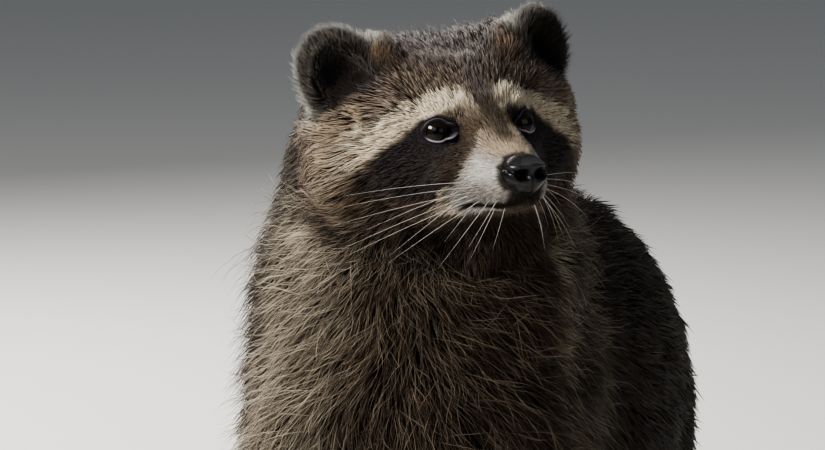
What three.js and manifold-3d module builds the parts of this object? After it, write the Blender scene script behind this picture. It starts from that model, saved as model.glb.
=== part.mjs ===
// A life-size standing raccoon in its winter coat, head raised and turned to its left.
// Millimetres, +Z up. The animal faces -Y, its left side is +X, and its soles stand on z = 0.
// The solids give the outline out to the tips of the coat.
import * as THREE from "three";
import { mergeVertices } from "three/addons/utils/BufferGeometryUtils.js";
import Module from "manifold-3d";

const wasm = await Module();
wasm.setup();

// ---- driving dimensions -------------------------------------------------------------------
const GAP = 0.35; // clear space between two neighbouring solids
const TRUNK_HALF_WIDTH = 124; // widest part of the coat, over the loins
const HEAD_HALF_WIDTH = 86; // over the cheek ruffs
const HEAD_AT = [20, -57, 345]; // middle of the head, level with the eyes
const HEAD_YAW = 43; // degrees to the animal's left
const HEAD_PITCH = 4; // nose up
const HEAD_ROLL = -2; // right ear down
const NOSE_FORWARD = 87; // from the middle of the head to the tip of the nose
const EYE_APART = 49.2;
const EYE_RADIUS = 8.9;
const EYE_FORWARD = 34.9;
const EAR_APART = 117;
const EAR_HALF_WIDTH = 24;
const EAR_LENGTH = 62; // its full length, of which the root is sunk in the head
// Each ear's middle over the eyes, and how many degrees it leans out: the left one is pricked more.
const LEFT_EAR = { rise: 34, lean: 38 };
const RIGHT_EAR = { rise: 30, lean: 28 };
const SHOULDER_APART = 128;
const HIP_APART = 158;
const FOREFOOT_APART = 112;
const HINDFOOT_APART = 150;
const FORE_STRIDE = 9; // how far the left fore foot stands ahead of the middle
const HIND_STRIDE = -14;
const TAIL_RADIUS = 35;

const vec = (x, y, z) => new THREE.Vector3(x, y, z);
const radians = THREE.MathUtils.degToRad;

// ---- making and joining closed shapes -----------------------------------------------------
// A closed surface swept along path. sizes gives, along the same way, x: half width, y: reach to
// the upper side, z: reach to the lower side. roundStart and roundEnd are the shares of the way
// over which the ends close in an arc, and grow adds a skin of that thickness. Sections stand
// square to the path, or square to facing where that is given.
function sweep(options) {
  const { path, sizes, upper, facing, rings, sides } = options;
  const { roundStart = 0.1, roundEnd = 0.1, grow = 0 } = options;
  const centre = new THREE.CatmullRomCurve3(path, false, "centripetal");
  const size = new THREE.CatmullRomCurve3(sizes, false, "catmullrom", 0.5);
  const points = [];
  for (let ring = 0; ring <= rings; ring++) {
    const t = 0.5 - 0.5 * Math.cos((Math.PI * ring) / rings);
    const share = 0.5 * t + 0.5 * (ring / rings);
    const at = centre.getPoint(share);
    const along = facing ?? centre.getTangent(share);
    const right = along.clone().cross(upper).normalize();
    const up = right.clone().cross(along).normalize();
    const fromStart = Math.min(1, share / roundStart);
    const fromEnd = Math.min(1, (1 - share) / roundEnd);
    const closing = Math.sqrt(1 - (1 - fromStart) ** 2) * Math.sqrt(1 - (1 - fromEnd) ** 2);
    const reach = size.getPoint(share);
    if (ring === 0 || ring === rings) {
      points.push(at.addScaledVector(along, ring === 0 ? -grow : grow));
      continue;
    }
    for (let side = 0; side < sides; side++) {
      const turn = (2 * Math.PI * side) / sides;
      const rise = Math.sin(turn) > 0 ? reach.y : reach.z;
      points.push(
        at
          .clone()
          .addScaledVector(right, Math.cos(turn) * (reach.x * closing + grow))
          .addScaledVector(up, Math.sin(turn) * (rise * closing + grow)),
      );
    }
  }
  const index = [];
  const last = points.length - 1;
  for (let side = 0; side < sides; side++) {
    const next = (side + 1) % sides;
    index.push(0, 1 + next, 1 + side);
    for (let ring = 0; ring < rings - 2; ring++) {
      const a = 1 + ring * sides;
      const b = a + sides;
      index.push(a + side, a + next, b + side, a + next, b + next, b + side);
    }
    const end = 1 + (rings - 2) * sides;
    index.push(last, end + side, end + next);
  }
  return new THREE.BufferGeometry().setFromPoints(points).setIndex(index);
}

function ellipsoid(at, radii, turn = [0, 0, 0], detail = 20, grow = 0) {
  const shape = new THREE.SphereGeometry(1, detail, Math.round(detail * 0.7));
  shape.scale(radii[0] + grow, radii[1] + grow, radii[2] + grow);
  shape.applyMatrix4(
    new THREE.Matrix4().makeRotationFromEuler(new THREE.Euler(...turn.map(radians), "ZXY")),
  );
  return shape.translate(...at);
}

function solid(geometry) {
  const bare = new THREE.BufferGeometry();
  bare.setAttribute("position", geometry.getAttribute("position"));
  bare.setIndex(geometry.index);
  const merged = mergeVertices(bare, 1e-3);
  const make = (triVerts) =>
    new wasm.Manifold(
      new wasm.Mesh({ numProp: 3, vertProperties: merged.attributes.position.array, triVerts }),
    );
  const triVerts = new Uint32Array(merged.index.array);
  const made = make(triVerts);
  return made.volume() > 0 ? made : make(triVerts.toReversed());
}

// The largest body of a solid: a cut can leave crumbs behind.
const wholePiece = (body) =>
  body.decompose().reduce((best, part) => (part.volume() > best.volume() ? part : best));

const joined = (parts) => parts.reduce((sum, part) => sum.add(part));

function geometryOf(body) {
  const { vertProperties, numProp, numVert, triVerts } = body.getMesh();
  const places = new Float32Array(numVert * 3);
  for (let i = 0; i < numVert; i++) {
    places.set(vertProperties.subarray(i * numProp, i * numProp + 3), i * 3);
  }
  const geometry = new THREE.BufferGeometry();
  geometry.setAttribute("position", new THREE.BufferAttribute(places, 3));
  geometry.setIndex(new THREE.BufferAttribute(triVerts, 1));
  geometry.computeVertexNormals();
  return geometry;
}

// A block with its near face through `at`, reaching far along `direction`.
function halfSpace(at, direction) {
  const size = 900;
  const block = new THREE.BoxGeometry(size, size, size).translate(0, 0, size / 2);
  const turn = new THREE.Quaternion().setFromUnitVectors(
    vec(0, 0, 1),
    direction.clone().normalize(),
  );
  return solid(block.applyQuaternion(turn).translate(at.x, at.y, at.z));
}

// Parts one body in two with a thin cut through `at`, square to `direction`.
function cutInTwo(body, at, direction) {
  const half = direction.clone().normalize().multiplyScalar(GAP / 2);
  const front = body.intersect(halfSpace(at.clone().add(half), direction));
  const back = body.intersect(halfSpace(at.clone().sub(half), direction.clone().negate()));
  return [wholePiece(front), wholePiece(back)];
}

const aboveFloor = (body) => body.intersect(halfSpace(vec(0, 0, 0), vec(0, 0, 1)));

// ---- coat colours -------------------------------------------------------------------------
const finish = (color, roughness) =>
  new THREE.MeshStandardMaterial({ color, roughness, metalness: 0 });
const GREY_BROWN_COAT = finish("#75685a", 0.9);
const FACE_COAT = finish("#9a8c79", 0.9);
const MUZZLE_COAT = finish("#cfc6b4", 0.9);
const EAR_COAT = finish("#a9a292", 0.9);
const LEG_COAT = finish("#5a4f45", 0.9);
const PAW_SKIN = finish("#3b342f", 0.8);
const TAIL_COAT = finish("#6a5b4b", 0.9);
const WET_EYE = finish("#140d09", 0.08);
const NOSE_LEATHER = finish("#17161a", 0.35);

const raccoon = new THREE.Group();
function place(group, name, body, material) {
  const mesh = new THREE.Mesh(geometryOf(wholePiece(body)), material);
  mesh.name = name;
  group.add(mesh);
}

// ---- head, in its own frame: forward is -Y, its left is +X, the eyes' level is z = 0 ---------
const head = new THREE.Group();
head.position.set(...HEAD_AT);
head.rotation.set(radians(-HEAD_PITCH), radians(HEAD_ROLL), radians(HEAD_YAW), "ZXY");
head.updateMatrixWorld(true);
raccoon.add(head);

// Each station: forward, half width, height of the widest place, top, bottom.
const HEAD_STATIONS = [
  [-62, 42, 4, 34, -34],
  [-50, 60, 2, 42, -48],
  [-30, 75, -6, 49, -58],
  [-10, 83, -14, 51, -63],
  [9, HEAD_HALF_WIDTH, -19, 48, -63],
  [21, 74, -20, 43, -60],
  [31, 55, -18, 34, -55],
  [39, 38, -16, 24, -50],
  [49, 28, -19, 10, -46],
  [60, 22.5, -22, 0, -43.5],
  [70, 18.5, -25, -8, -43],
  [78, 14.5, -27, -12, -39],
  [83, 9.5, -28, -17, -34.5],
];
// The hair of the crown rises a little towards each ear, more on the left.
const CROWN_RISES = [
  [30, 3, 35],
  [-30, 3, 33],
];
const CROWN_RISE_RADII = [27, 24, 20.5];
const headSweep = (grow) =>
  solid(
    sweep({
      path: HEAD_STATIONS.map(([forward, , widest]) => vec(0, -forward, widest)),
      sizes: HEAD_STATIONS.map(([, half, widest, top, bottom]) =>
        vec(half, top - widest, widest - bottom),
      ),
      upper: vec(0, 0, 1),
      facing: vec(0, -1, 0),
      rings: 20,
      sides: 22,
      roundStart: 0.12,
      roundEnd: 0.05,
      grow,
    }),
  );
const headShape = (grow) =>
  joined([
    ...CROWN_RISES.map((at) => solid(ellipsoid(at, CROWN_RISE_RADII, [0, 0, 0], 12, grow))),
    headSweep(grow),
  ]);

const NOSE_AT = [0, -(NOSE_FORWARD - 9.5), -22.5];
const noseShape = (grow) => {
  const pad = solid(ellipsoid(NOSE_AT, [11.6, 9.5, 10.3], [8, 0, 0], 12, grow));
  const bridge = solid(ellipsoid([0, NOSE_AT[1] + 5, -17], [9, 9, 6], [0, 0, 0], 8, grow));
  return pad.add(bridge);
};
const nostril = (side) =>
  solid(ellipsoid([side * 6.2, NOSE_AT[1] - 7.6, -23], [3, 4, 2.4], [0, 0, side * 25], 7));

const eyeCentre = (side) => [(side * EYE_APART) / 2, -EYE_FORWARD, 0];
const eyeball = (side, grow) =>
  solid(ellipsoid(eyeCentre(side), [EYE_RADIUS, EYE_RADIUS, EYE_RADIUS], [0, 0, 0], 12, grow));
// The lids' opening: a shallow hollow from the eyeball out through the coat.
const EYE_OPENING = [9.5, 8, 7];
const eyeOpening = (side) =>
  solid(
    ellipsoid([side * (EYE_APART / 2 + 1.4), -EYE_FORWARD - 9.1, 0.5], EYE_OPENING, [0, 0, 0], 10),
  );

const EAR_BACK = 8; // degrees that an ear leans back
const EAR_FACING = 20; // degrees that its cup faces out
function earShape(side, grow) {
  const { rise, lean } = side > 0 ? LEFT_EAR : RIGHT_EAR;
  const middle = [(side * EAR_APART) / 2, -1, rise];
  const turn = [-EAR_BACK, side * lean, side * EAR_FACING];
  const shell = solid(
    ellipsoid(middle, [EAR_HALF_WIDTH, 14, EAR_LENGTH / 2], turn, 16, grow),
  );
  const hollow = ellipsoid([0, -12.5, -1], [EAR_HALF_WIDTH - 5, 13.5, EAR_LENGTH / 2 - 6], [0, 0, 0], 14);
  hollow.applyMatrix4(
    new THREE.Matrix4().makeRotationFromEuler(new THREE.Euler(...turn.map(radians), "ZXY")),
  );
  return shell.subtract(solid(hollow.translate(...middle)));
}

const sides = [
  ["left", 1],
  ["right", -1],
];
let skull = headShape(0).subtract(noseShape(GAP));
for (const [, side] of sides) {
  skull = skull.subtract(eyeball(side, GAP)).subtract(eyeOpening(side));
}
const [muzzle, face] = cutInTwo(skull, vec(0, -48, 0), vec(0, -1, -0.12));
place(head, "head", face, FACE_COAT);
place(head, "muzzle", muzzle, MUZZLE_COAT);
place(head, "nose", noseShape(0).subtract(nostril(1)).subtract(nostril(-1)), NOSE_LEATHER);
for (const [name, side] of sides) {
  place(head, `eye_${name}`, eyeball(side, 0), WET_EYE);
  place(head, `ear_${name}`, earShape(side, 0).subtract(headShape(GAP)), EAR_COAT);
}
const headInRow = solid(geometryOf(headShape(GAP)).applyMatrix4(head.matrixWorld));
const earsInRow = sides.map(([, side]) =>
  solid(geometryOf(earShape(side, GAP)).applyMatrix4(head.matrixWorld)),
);

// ---- trunk, from the rump forward to the chest ----------------------------------------------
// Each station: y, half width, middle height, top, bottom.
const TRUNK_STATIONS = [
  [318, 58, 174, 228, 124],
  [292, 84, 170, 254, 98],
  [250, 109, 167, 278, 74],
  [200, 120, 162, 292, 62],
  [140, TRUNK_HALF_WIDTH, 159, 300, 56],
  [80, 119, 161, 301, 60],
  [20, 107, 164, 298, 70],
  [-30, 96, 170, 286, 84],
  [-70, 86, 176, 262, 102],
  [-100, 64, 182, 234, 132],
  [-118, 32, 186, 210, 162],
];
const trunkShape = (grow) =>
  solid(
    sweep({
      path: TRUNK_STATIONS.map(([y, , middle]) => vec(0, y, middle)),
      sizes: TRUNK_STATIONS.map(([, half, middle, top, bottom]) =>
        vec(half, top - middle, middle - bottom),
      ),
      upper: vec(0, 0, 1),
      facing: vec(0, -1, 0),
      rings: 17,
      sides: 22,
      roundStart: 0.16,
      roundEnd: 0.08,
      grow,
    }),
  );
const trunk = trunkShape(0);
const trunkAround = trunkShape(GAP);

// ---- neck, from between the shoulders up to the head -----------------------------------------
// Each station: height, x, y, half width, reach forward, reach back.
const NECK_STATIONS = [
  [172, 0, -22, 90, 74, 76],
  [205, 0, -26, 96, 84, 86],
  [245, 0, -26, 95, 80, 86],
  [280, 1, -26, 91, 72, 80],
  [308, 0, -24, 83, 62, 74],
  [332, -5, -20, 72, 50, 64],
  [352, -9, -18, 57, 42, 50],
  [366, -12, -18, 42, 34, 38],
];
const neck = solid(
  sweep({
    path: NECK_STATIONS.map(([height, x, y]) => vec(x, y, height)),
    sizes: NECK_STATIONS.map(([, , , half, forward, back]) => vec(half, forward, back)),
    upper: vec(0, -1, 0),
    facing: vec(0, 0, 1),
    rings: 12,
    sides: 22,
    roundStart: 0.14,
    roundEnd: 0.14,
  }),
);
place(raccoon, "trunk", trunk, GREY_BROWN_COAT);
const neckCut = earsInRow.reduce((left, ear) => left.subtract(ear), neck);
place(raccoon, "neck", neckCut.subtract(trunkAround).subtract(headInRow), GREY_BROWN_COAT);

// ---- paws: a sole, five toes and five claws ---------------------------------------------------
function toe(root, tip, radius, grow) {
  const middle = root.clone().lerp(tip, 0.55).add(vec(0, 0, radius * 0.5));
  return solid(
    sweep({
      path: [root, middle, tip],
      sizes: [vec(1, 1, 1), vec(0.95, 0.95, 0.95), vec(0.8, 0.8, 0.8)].map((size) =>
        size.multiplyScalar(radius),
      ),
      upper: vec(0, 0, 1),
      rings: 4,
      sides: 6,
      roundStart: 0.2,
      roundEnd: 0.3,
      grow,
    }),
  );
}
function claw(tip, direction, radius, length) {
  const out = direction.clone().normalize();
  const root = tip.clone().addScaledVector(out, -radius).add(vec(0, 0, radius * 0.4));
  const end = tip.clone().addScaledVector(out, length).setZ(1.2);
  const bow = root.clone().lerp(end, 0.5).add(vec(0, 0, radius * 0.5));
  return solid(
    sweep({
      path: [root, bow, end],
      sizes: [1.9, 1.5, 0.6].map((size) => vec(size * 0.8, size, size)),
      upper: vec(0, 0, 1),
      rings: 3,
      sides: 4,
      roundStart: 0.2,
      roundEnd: 0.2,
    }),
  );
}
// at: the wrist or heel end of the sole on the floor. heading: degrees the toes turn out.
function paw({ at, side, heading, soleLength, soleHalf, soleHeight, toeFan, toeLengths, toeRadius }) {
  const turn = new THREE.Matrix4().makeRotationZ(radians(side * heading));
  const local = (x, forward, z) => vec(side * x, -forward, z).applyMatrix4(turn).add(at);
  const sole = solid(
    sweep({
      path: [0, 0.35, 0.7, 1].map((share) => local(0, share * soleLength, soleHeight * 0.45)),
      sizes: [
        vec(soleHalf * 0.72, soleHeight * 0.75, soleHeight * 0.5),
        vec(soleHalf * 0.8, soleHeight * 0.7, soleHeight * 0.5),
        vec(soleHalf, soleHeight * 0.55, soleHeight * 0.5),
        vec(soleHalf * 0.9, soleHeight * 0.4, soleHeight * 0.5),
      ],
      upper: vec(0, 0, 1),
      rings: 6,
      sides: 10,
      roundStart: 0.25,
      roundEnd: 0.25,
    }),
  );
  const parts = [sole];
  toeFan.forEach((fan, i) => {
    const across = (i - (toeFan.length - 1) / 2) * soleHalf * 0.42;
    const direction = vec(side * Math.sin(radians(fan)), -Math.cos(radians(fan)), 0).applyMatrix4(
      turn,
    );
    const root = local(across, soleLength * (0.86 - 0.1 * Math.abs(i - 2)), toeRadius * 0.9);
    const tip = root.clone().addScaledVector(direction, toeLengths[i]);
    tip.z = toeRadius * 0.75;
    parts.push(toe(root, tip, toeRadius, 0), claw(tip, direction, toeRadius, 9));
  });
  return aboveFloor(joined(parts));
}

// ---- fore legs -------------------------------------------------------------------------------
const WRIST_HEIGHT = 30;
for (const [name, side] of sides) {
  const stride = -side * FORE_STRIDE;
  const footX = (side * FOREFOOT_APART) / 2;
  const leg = solid(
    sweep({
      path: [
        vec((side * SHOULDER_APART) / 2, -38, 184),
        vec((side * (SHOULDER_APART + 12)) / 2, -26, 142),
        vec((side * (SHOULDER_APART + 4)) / 2, -18 + stride * 0.4, 98),
        vec(footX + side * 3, -30 + stride * 0.8, 58),
        vec(footX, -44 + stride, WRIST_HEIGHT),
        vec(footX, -50 + stride, 12),
      ],
      sizes: [
        vec(30, 46, 46),
        vec(31, 42, 42),
        vec(27, 31, 33),
        vec(20, 22, 24),
        vec(16.5, 17, 17),
        vec(16, 16, 15),
      ],
      upper: vec(0, -1, 0),
      rings: 12,
      sides: 13,
      roundStart: 0.16,
      roundEnd: 0.08,
    }),
  );
  const hand = paw({
    at: vec(footX, -40 + stride, 0),
    side,
    heading: 6,
    soleLength: 34,
    soleHalf: 17,
    soleHeight: 17,
    toeFan: [-34, -15, 1, 17, 36],
    toeLengths: [21, 28, 31, 28, 21],
    toeRadius: 4.6,
  });
  const wristAt = vec(footX, -46 + stride, 21);
  const [upperPart] = cutInTwo(leg, wristAt, vec(0, 0, 1));
  place(raccoon, `foreleg_${name}`, upperPart.subtract(trunkAround), LEG_COAT);
  const below = halfSpace(wristAt.clone().sub(vec(0, 0, GAP / 2)), vec(0, 0, -1));
  place(raccoon, `forepaw_${name}`, aboveFloor(leg).add(hand).intersect(below), PAW_SKIN);
}

// ---- hind legs -------------------------------------------------------------------------------
for (const [name, side] of sides) {
  const stride = -side * HIND_STRIDE;
  const footX = (side * HINDFOOT_APART) / 2;
  const hipX = (side * HIP_APART) / 2;
  const thigh = solid(
    sweep({
      path: [
        vec(hipX - side * 2, 226 + stride * 0.3, 186),
        vec(hipX + side * 2, 208 + stride * 0.5, 146),
        vec(hipX + side * 4, 196 + stride * 0.8, 102),
        vec(footX + side * 5, 206 + stride, 66),
        vec(footX + side * 1, 228 + stride, 42),
        vec(footX, 244 + stride, 22),
        vec(footX, 248 + stride, 10),
      ],
      sizes: [
        vec(38, 66, 60),
        vec(41, 74, 62),
        vec(34, 58, 48),
        vec(24, 30, 29),
        vec(19, 20, 19),
        vec(15, 16, 15),
        vec(14, 15, 12),
      ],
      upper: vec(0, -1, 0),
      rings: 13,
      sides: 14,
      roundStart: 0.16,
      roundEnd: 0.08,
    }),
  );
  const foot = paw({
    at: vec(footX, 262 + stride, 0),
    side,
    heading: 7,
    soleLength: 74,
    soleHalf: 18,
    soleHeight: 21,
    toeFan: [-24, -10, 1, 12, 26],
    toeLengths: [18, 25, 27, 25, 18],
    toeRadius: 4.8,
  });
  const ankleAt = vec(footX, 246 + stride, 27);
  const [upperPart] = cutInTwo(thigh, ankleAt, vec(0, -0.25, 1));
  place(raccoon, `hindleg_${name}`, upperPart.subtract(trunkAround), LEG_COAT);
  const below = halfSpace(
    ankleAt.clone().sub(vec(0, -0.25, 1).normalize().multiplyScalar(GAP / 2)),
    vec(0, 0.25, -1),
  );
  place(raccoon, `hindpaw_${name}`, aboveFloor(thigh).add(foot).intersect(below), PAW_SKIN);
}

// ---- tail: one drooping bush, cut into three lengths -------------------------------------------
const TAIL_PATH = [
  vec(0, 292, 196),
  vec(-2, 338, 176),
  vec(-6, 380, 142),
  vec(-12, 414, 106),
  vec(-20, 448, 76),
  vec(-30, 488, 56),
  vec(-42, 530, 48),
  vec(-54, 566, 50),
];
const TAIL_FULLNESS = [0.78, 0.88, 0.96, 1, 1, 0.97, 0.87, 0.66];
const tailCurve = new THREE.CatmullRomCurve3(TAIL_PATH, false, "centripetal");
const tail = solid(
  sweep({
    path: TAIL_PATH,
    sizes: TAIL_FULLNESS.map((full) => vec(1, 1, 1).multiplyScalar(full * TAIL_RADIUS)),
    upper: vec(0, 0, 1),
    rings: 15,
    sides: 14,
    roundStart: 0.08,
    roundEnd: 0.12,
  }),
).subtract(trunkAround);
const tailCutAt = (share) => [tailCurve.getPoint(share), tailCurve.getTangent(share)];
const [tailBeyond, tailRoot] = cutInTwo(tail, ...tailCutAt(0.4));
const [tailTip, tailMiddle] = cutInTwo(tailBeyond, ...tailCutAt(0.7));
place(raccoon, "tail_root", tailRoot, TAIL_COAT);
place(raccoon, "tail_middle", tailMiddle, TAIL_COAT);
place(raccoon, "tail_tip", tailTip, TAIL_COAT);

// The row's origin is on the floor, under the middle of the model's box.
const around = new THREE.Box3().setFromObject(raccoon, true);
const middle = around.getCenter(vec(0, 0, 0));
raccoon.position.set(-middle.x, -middle.y, 0);

export default raccoon;
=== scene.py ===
import bpy
import bmesh
import math
import numpy as np
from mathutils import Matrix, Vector
from mathutils.bvhtree import BVHTree
from mathutils.kdtree import KDTree


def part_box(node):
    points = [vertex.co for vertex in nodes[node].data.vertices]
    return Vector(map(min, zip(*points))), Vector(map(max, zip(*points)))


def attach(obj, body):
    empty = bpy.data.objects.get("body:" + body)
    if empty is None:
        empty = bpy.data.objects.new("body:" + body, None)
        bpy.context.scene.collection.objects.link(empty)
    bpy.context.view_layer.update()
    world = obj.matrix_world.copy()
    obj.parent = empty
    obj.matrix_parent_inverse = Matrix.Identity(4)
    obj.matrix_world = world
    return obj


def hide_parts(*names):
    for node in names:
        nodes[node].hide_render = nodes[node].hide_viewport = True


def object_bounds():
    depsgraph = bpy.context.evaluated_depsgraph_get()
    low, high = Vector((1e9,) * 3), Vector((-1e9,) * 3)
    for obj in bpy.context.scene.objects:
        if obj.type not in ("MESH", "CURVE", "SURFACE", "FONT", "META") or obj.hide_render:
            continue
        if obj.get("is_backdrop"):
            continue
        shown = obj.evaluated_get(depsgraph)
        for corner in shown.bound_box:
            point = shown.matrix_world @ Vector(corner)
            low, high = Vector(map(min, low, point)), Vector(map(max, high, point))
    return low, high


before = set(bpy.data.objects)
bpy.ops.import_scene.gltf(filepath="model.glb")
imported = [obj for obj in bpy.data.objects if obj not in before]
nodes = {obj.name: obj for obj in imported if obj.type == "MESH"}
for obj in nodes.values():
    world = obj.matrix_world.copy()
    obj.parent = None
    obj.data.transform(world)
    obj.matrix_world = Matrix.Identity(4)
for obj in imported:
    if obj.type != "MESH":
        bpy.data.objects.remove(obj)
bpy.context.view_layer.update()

# ==== Camera =======================================================================================
# A portrait lens about 1.7 m away, 13 degrees to the animal's left of straight ahead and a little
# above its eyes. It takes in the head, the chest and one side of the back.
CAMERA_AZIMUTH = math.radians(13)
CAMERA_ELEVATION = math.radians(8)
CAMERA_DISTANCE = 1.67
CAMERA_LENS, CAMERA_SENSOR = 135, 36
BREAST_TO_SHOULDERS = 0.118
AIM_FROM_SHOULDERS = Vector((-0.0016, -0.0345, 0.2889))
trunk_low, trunk_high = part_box("trunk")
# The floor point under the shoulders: the animal's own frame starts there.
shoulders = Vector(((trunk_low.x + trunk_high.x) / 2, trunk_low.y + BREAST_TO_SHOULDERS, 0))
aim = shoulders + AIM_FROM_SHOULDERS
level = math.cos(CAMERA_ELEVATION)
view_from = Vector((
    math.sin(CAMERA_AZIMUTH) * level,
    -math.cos(CAMERA_AZIMUTH) * level,
    math.sin(CAMERA_ELEVATION),
))


def in_scene(name, data):
    """A new object in the scene that shows a camera, a mesh or a lamp."""
    made = bpy.data.objects.new(name, data)
    bpy.context.scene.collection.objects.link(made)
    return made


camera = in_scene("portrait_camera", bpy.data.cameras.new("portrait_camera"))
camera.location = aim + view_from * CAMERA_DISTANCE
camera.rotation_euler = (-view_from).to_track_quat("-Z", "Y").to_euler()
camera.data.lens = CAMERA_LENS
camera.data.sensor_width = CAMERA_SENSOR
bpy.context.scene.camera = camera

# ==== Hide =========================================================================================
# One skin over the head, ears, neck, trunk, legs and tail. It is the outer form drawn in by the
# depth of the coat, with the lids, the bridge of the nose, the lips and the toes shaped in it.
MM = 0.001
SHOULDER_POINT = np.array(shoulders)
HEAD_AT = np.array([20.0, -57.0, 345.0])
HEAD_YAW, HEAD_PITCH, HEAD_ROLL = np.radians([43, 4, -2])


def turn_about(axis, angle):
    """The matrix that turns points about x, y or z."""
    a, b = [(1, 2), (2, 0), (0, 1)]["xyz".index(axis)]
    turn = np.eye(3)
    turn[a, a] = turn[b, b] = math.cos(angle)
    turn[b, a] = math.sin(angle)
    turn[a, b] = -math.sin(angle)
    return turn


HEAD_TURN = turn_about("z", HEAD_YAW) @ turn_about("x", -HEAD_PITCH) @ turn_about("y", HEAD_ROLL)


def to_row(points):
    """From millimetres in the animal's frame to metres in the row's frame."""
    return np.asarray(points) * MM + SHOULDER_POINT


def to_animal(points):
    return (np.asarray(points) - SHOULDER_POINT) / MM


def to_head(points):
    """Into the head's frame: forward is -y, its left is +x, and the eyes are at z = 0."""
    return (np.asarray(points) - HEAD_AT) @ HEAD_TURN


def from_head(points):
    return np.asarray(points) @ HEAD_TURN.T + HEAD_AT


def flips(head_points):
    """The factors that bring each point over to the left side, and back again."""
    return np.where(head_points[:, :1] < 0, (-1, 1, 1), (1, 1, 1))


def unit(vectors):
    return vectors / np.maximum(np.linalg.norm(vectors, axis=-1, keepdims=True), 1e-9)


def ramp(low, high, x):
    t = np.clip((x - low) / (high - low), 0, 1)
    return t * t * (3 - 2 * t)


# How the coat lies, as strokes of a comb: place, direction, length of hair, degrees that it
# stands off the skin, and width of a tuft. Millimetres; each stroke is mirrored to the other side.
HEAD_STROKES = [
    ((0, -70, -8), (0, 1, 0.35), 3.5, 15, 0.44),
    ((0, -57, 2), (0, 0.9, 0.5), 4.5, 14, 0.45),
    ((0, -44, 16), (0, 0.5, 0.9), 6.5, 18, 0.48),
    ((0, -30, 32), (0.05, 0.7, 0.75), 8, 22, 0.52),
    ((0, -10, 45), (0, 1, 0.35), 11, 42, 0.55),
    ((0, 20, 48), (0, 1, 0.1), 14, 42, 0.6),
    ((0, 46, 38), (0, 0.9, -0.45), 20, 28, 0.75),
    ((10, -74, -22), (0.45, 1, -0.2), 3.2, 15, 0.44),
    ((20, -60, -26), (0.35, 1, -0.25), 4.8, 19, 0.46),
    ((14, -70, -33), (0.3, 0.9, -0.35), 3.8, 17, 0.44),
    ((27, -48, -26), (0.55, 0.8, -0.3), 7, 16, 0.48),
    ((8, -76, -41), (0.15, 1, -0.4), 3.5, 14, 0.4),
    ((10, -56, -48), (0.15, 0.95, -0.35), 9, 20, 0.55),
    ((14, -48, -3), (0.3, 0.8, 0.35), 3.6, 12, 0.42),
    ((25, -43, -12), (0.65, 0.6, -0.3), 5, 13, 0.44),
    ((10, -44, 13), (0.3, 0.4, 0.85), 7.5, 20, 0.48),
    ((22, -40, 15), (0.5, 0.35, 0.75), 8.5, 22, 0.5),
    ((40, -30, 9), (0.85, 0.5, 0.15), 10, 18, 0.52),
    ((37, -35, -3), (0.85, 0.55, -0.2), 7, 14, 0.46),
    ((55, -20, 10), (0.8, 0.6, 0.0), 13, 20, 0.58),
    ((27, -28, 30), (0.4, 0.55, 0.75), 8, 22, 0.52),
    ((40, -5, 42), (0.4, 0.9, 0.4), 10, 34, 0.55),
    ((24, 10, 48), (0.1, 1, 0.2), 13, 42, 0.6),
    ((62, -10, -6), (0.75, 0.65, -0.2), 16, 22, 0.62),
    ((74, 0, -24), (0.65, 0.65, -0.4), 21, 24, 0.7),
    ((48, -30, -20), (0.8, 0.55, -0.25), 10, 16, 0.54),
    ((54, -18, -42), (0.6, 0.5, -0.6), 22, 27, 0.66),
    ((60, -2, -44), (0.45, 0.7, -0.6), 28, 26, 0.75),
    ((32, -40, -40), (0.55, 0.75, -0.4), 9, 17, 0.52),
    ((80, 24, -12), (0.5, 0.8, -0.4), 24, 26, 0.75),
    ((66, 30, 18), (0.3, 0.9, -0.25), 17, 24, 0.65),
    ((36, 50, 24), (0.2, 0.8, -0.5), 21, 26, 0.75),
    ((0, -34, -58), (0, 0.5, -0.8), 14, 24, 0.65),
]
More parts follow.
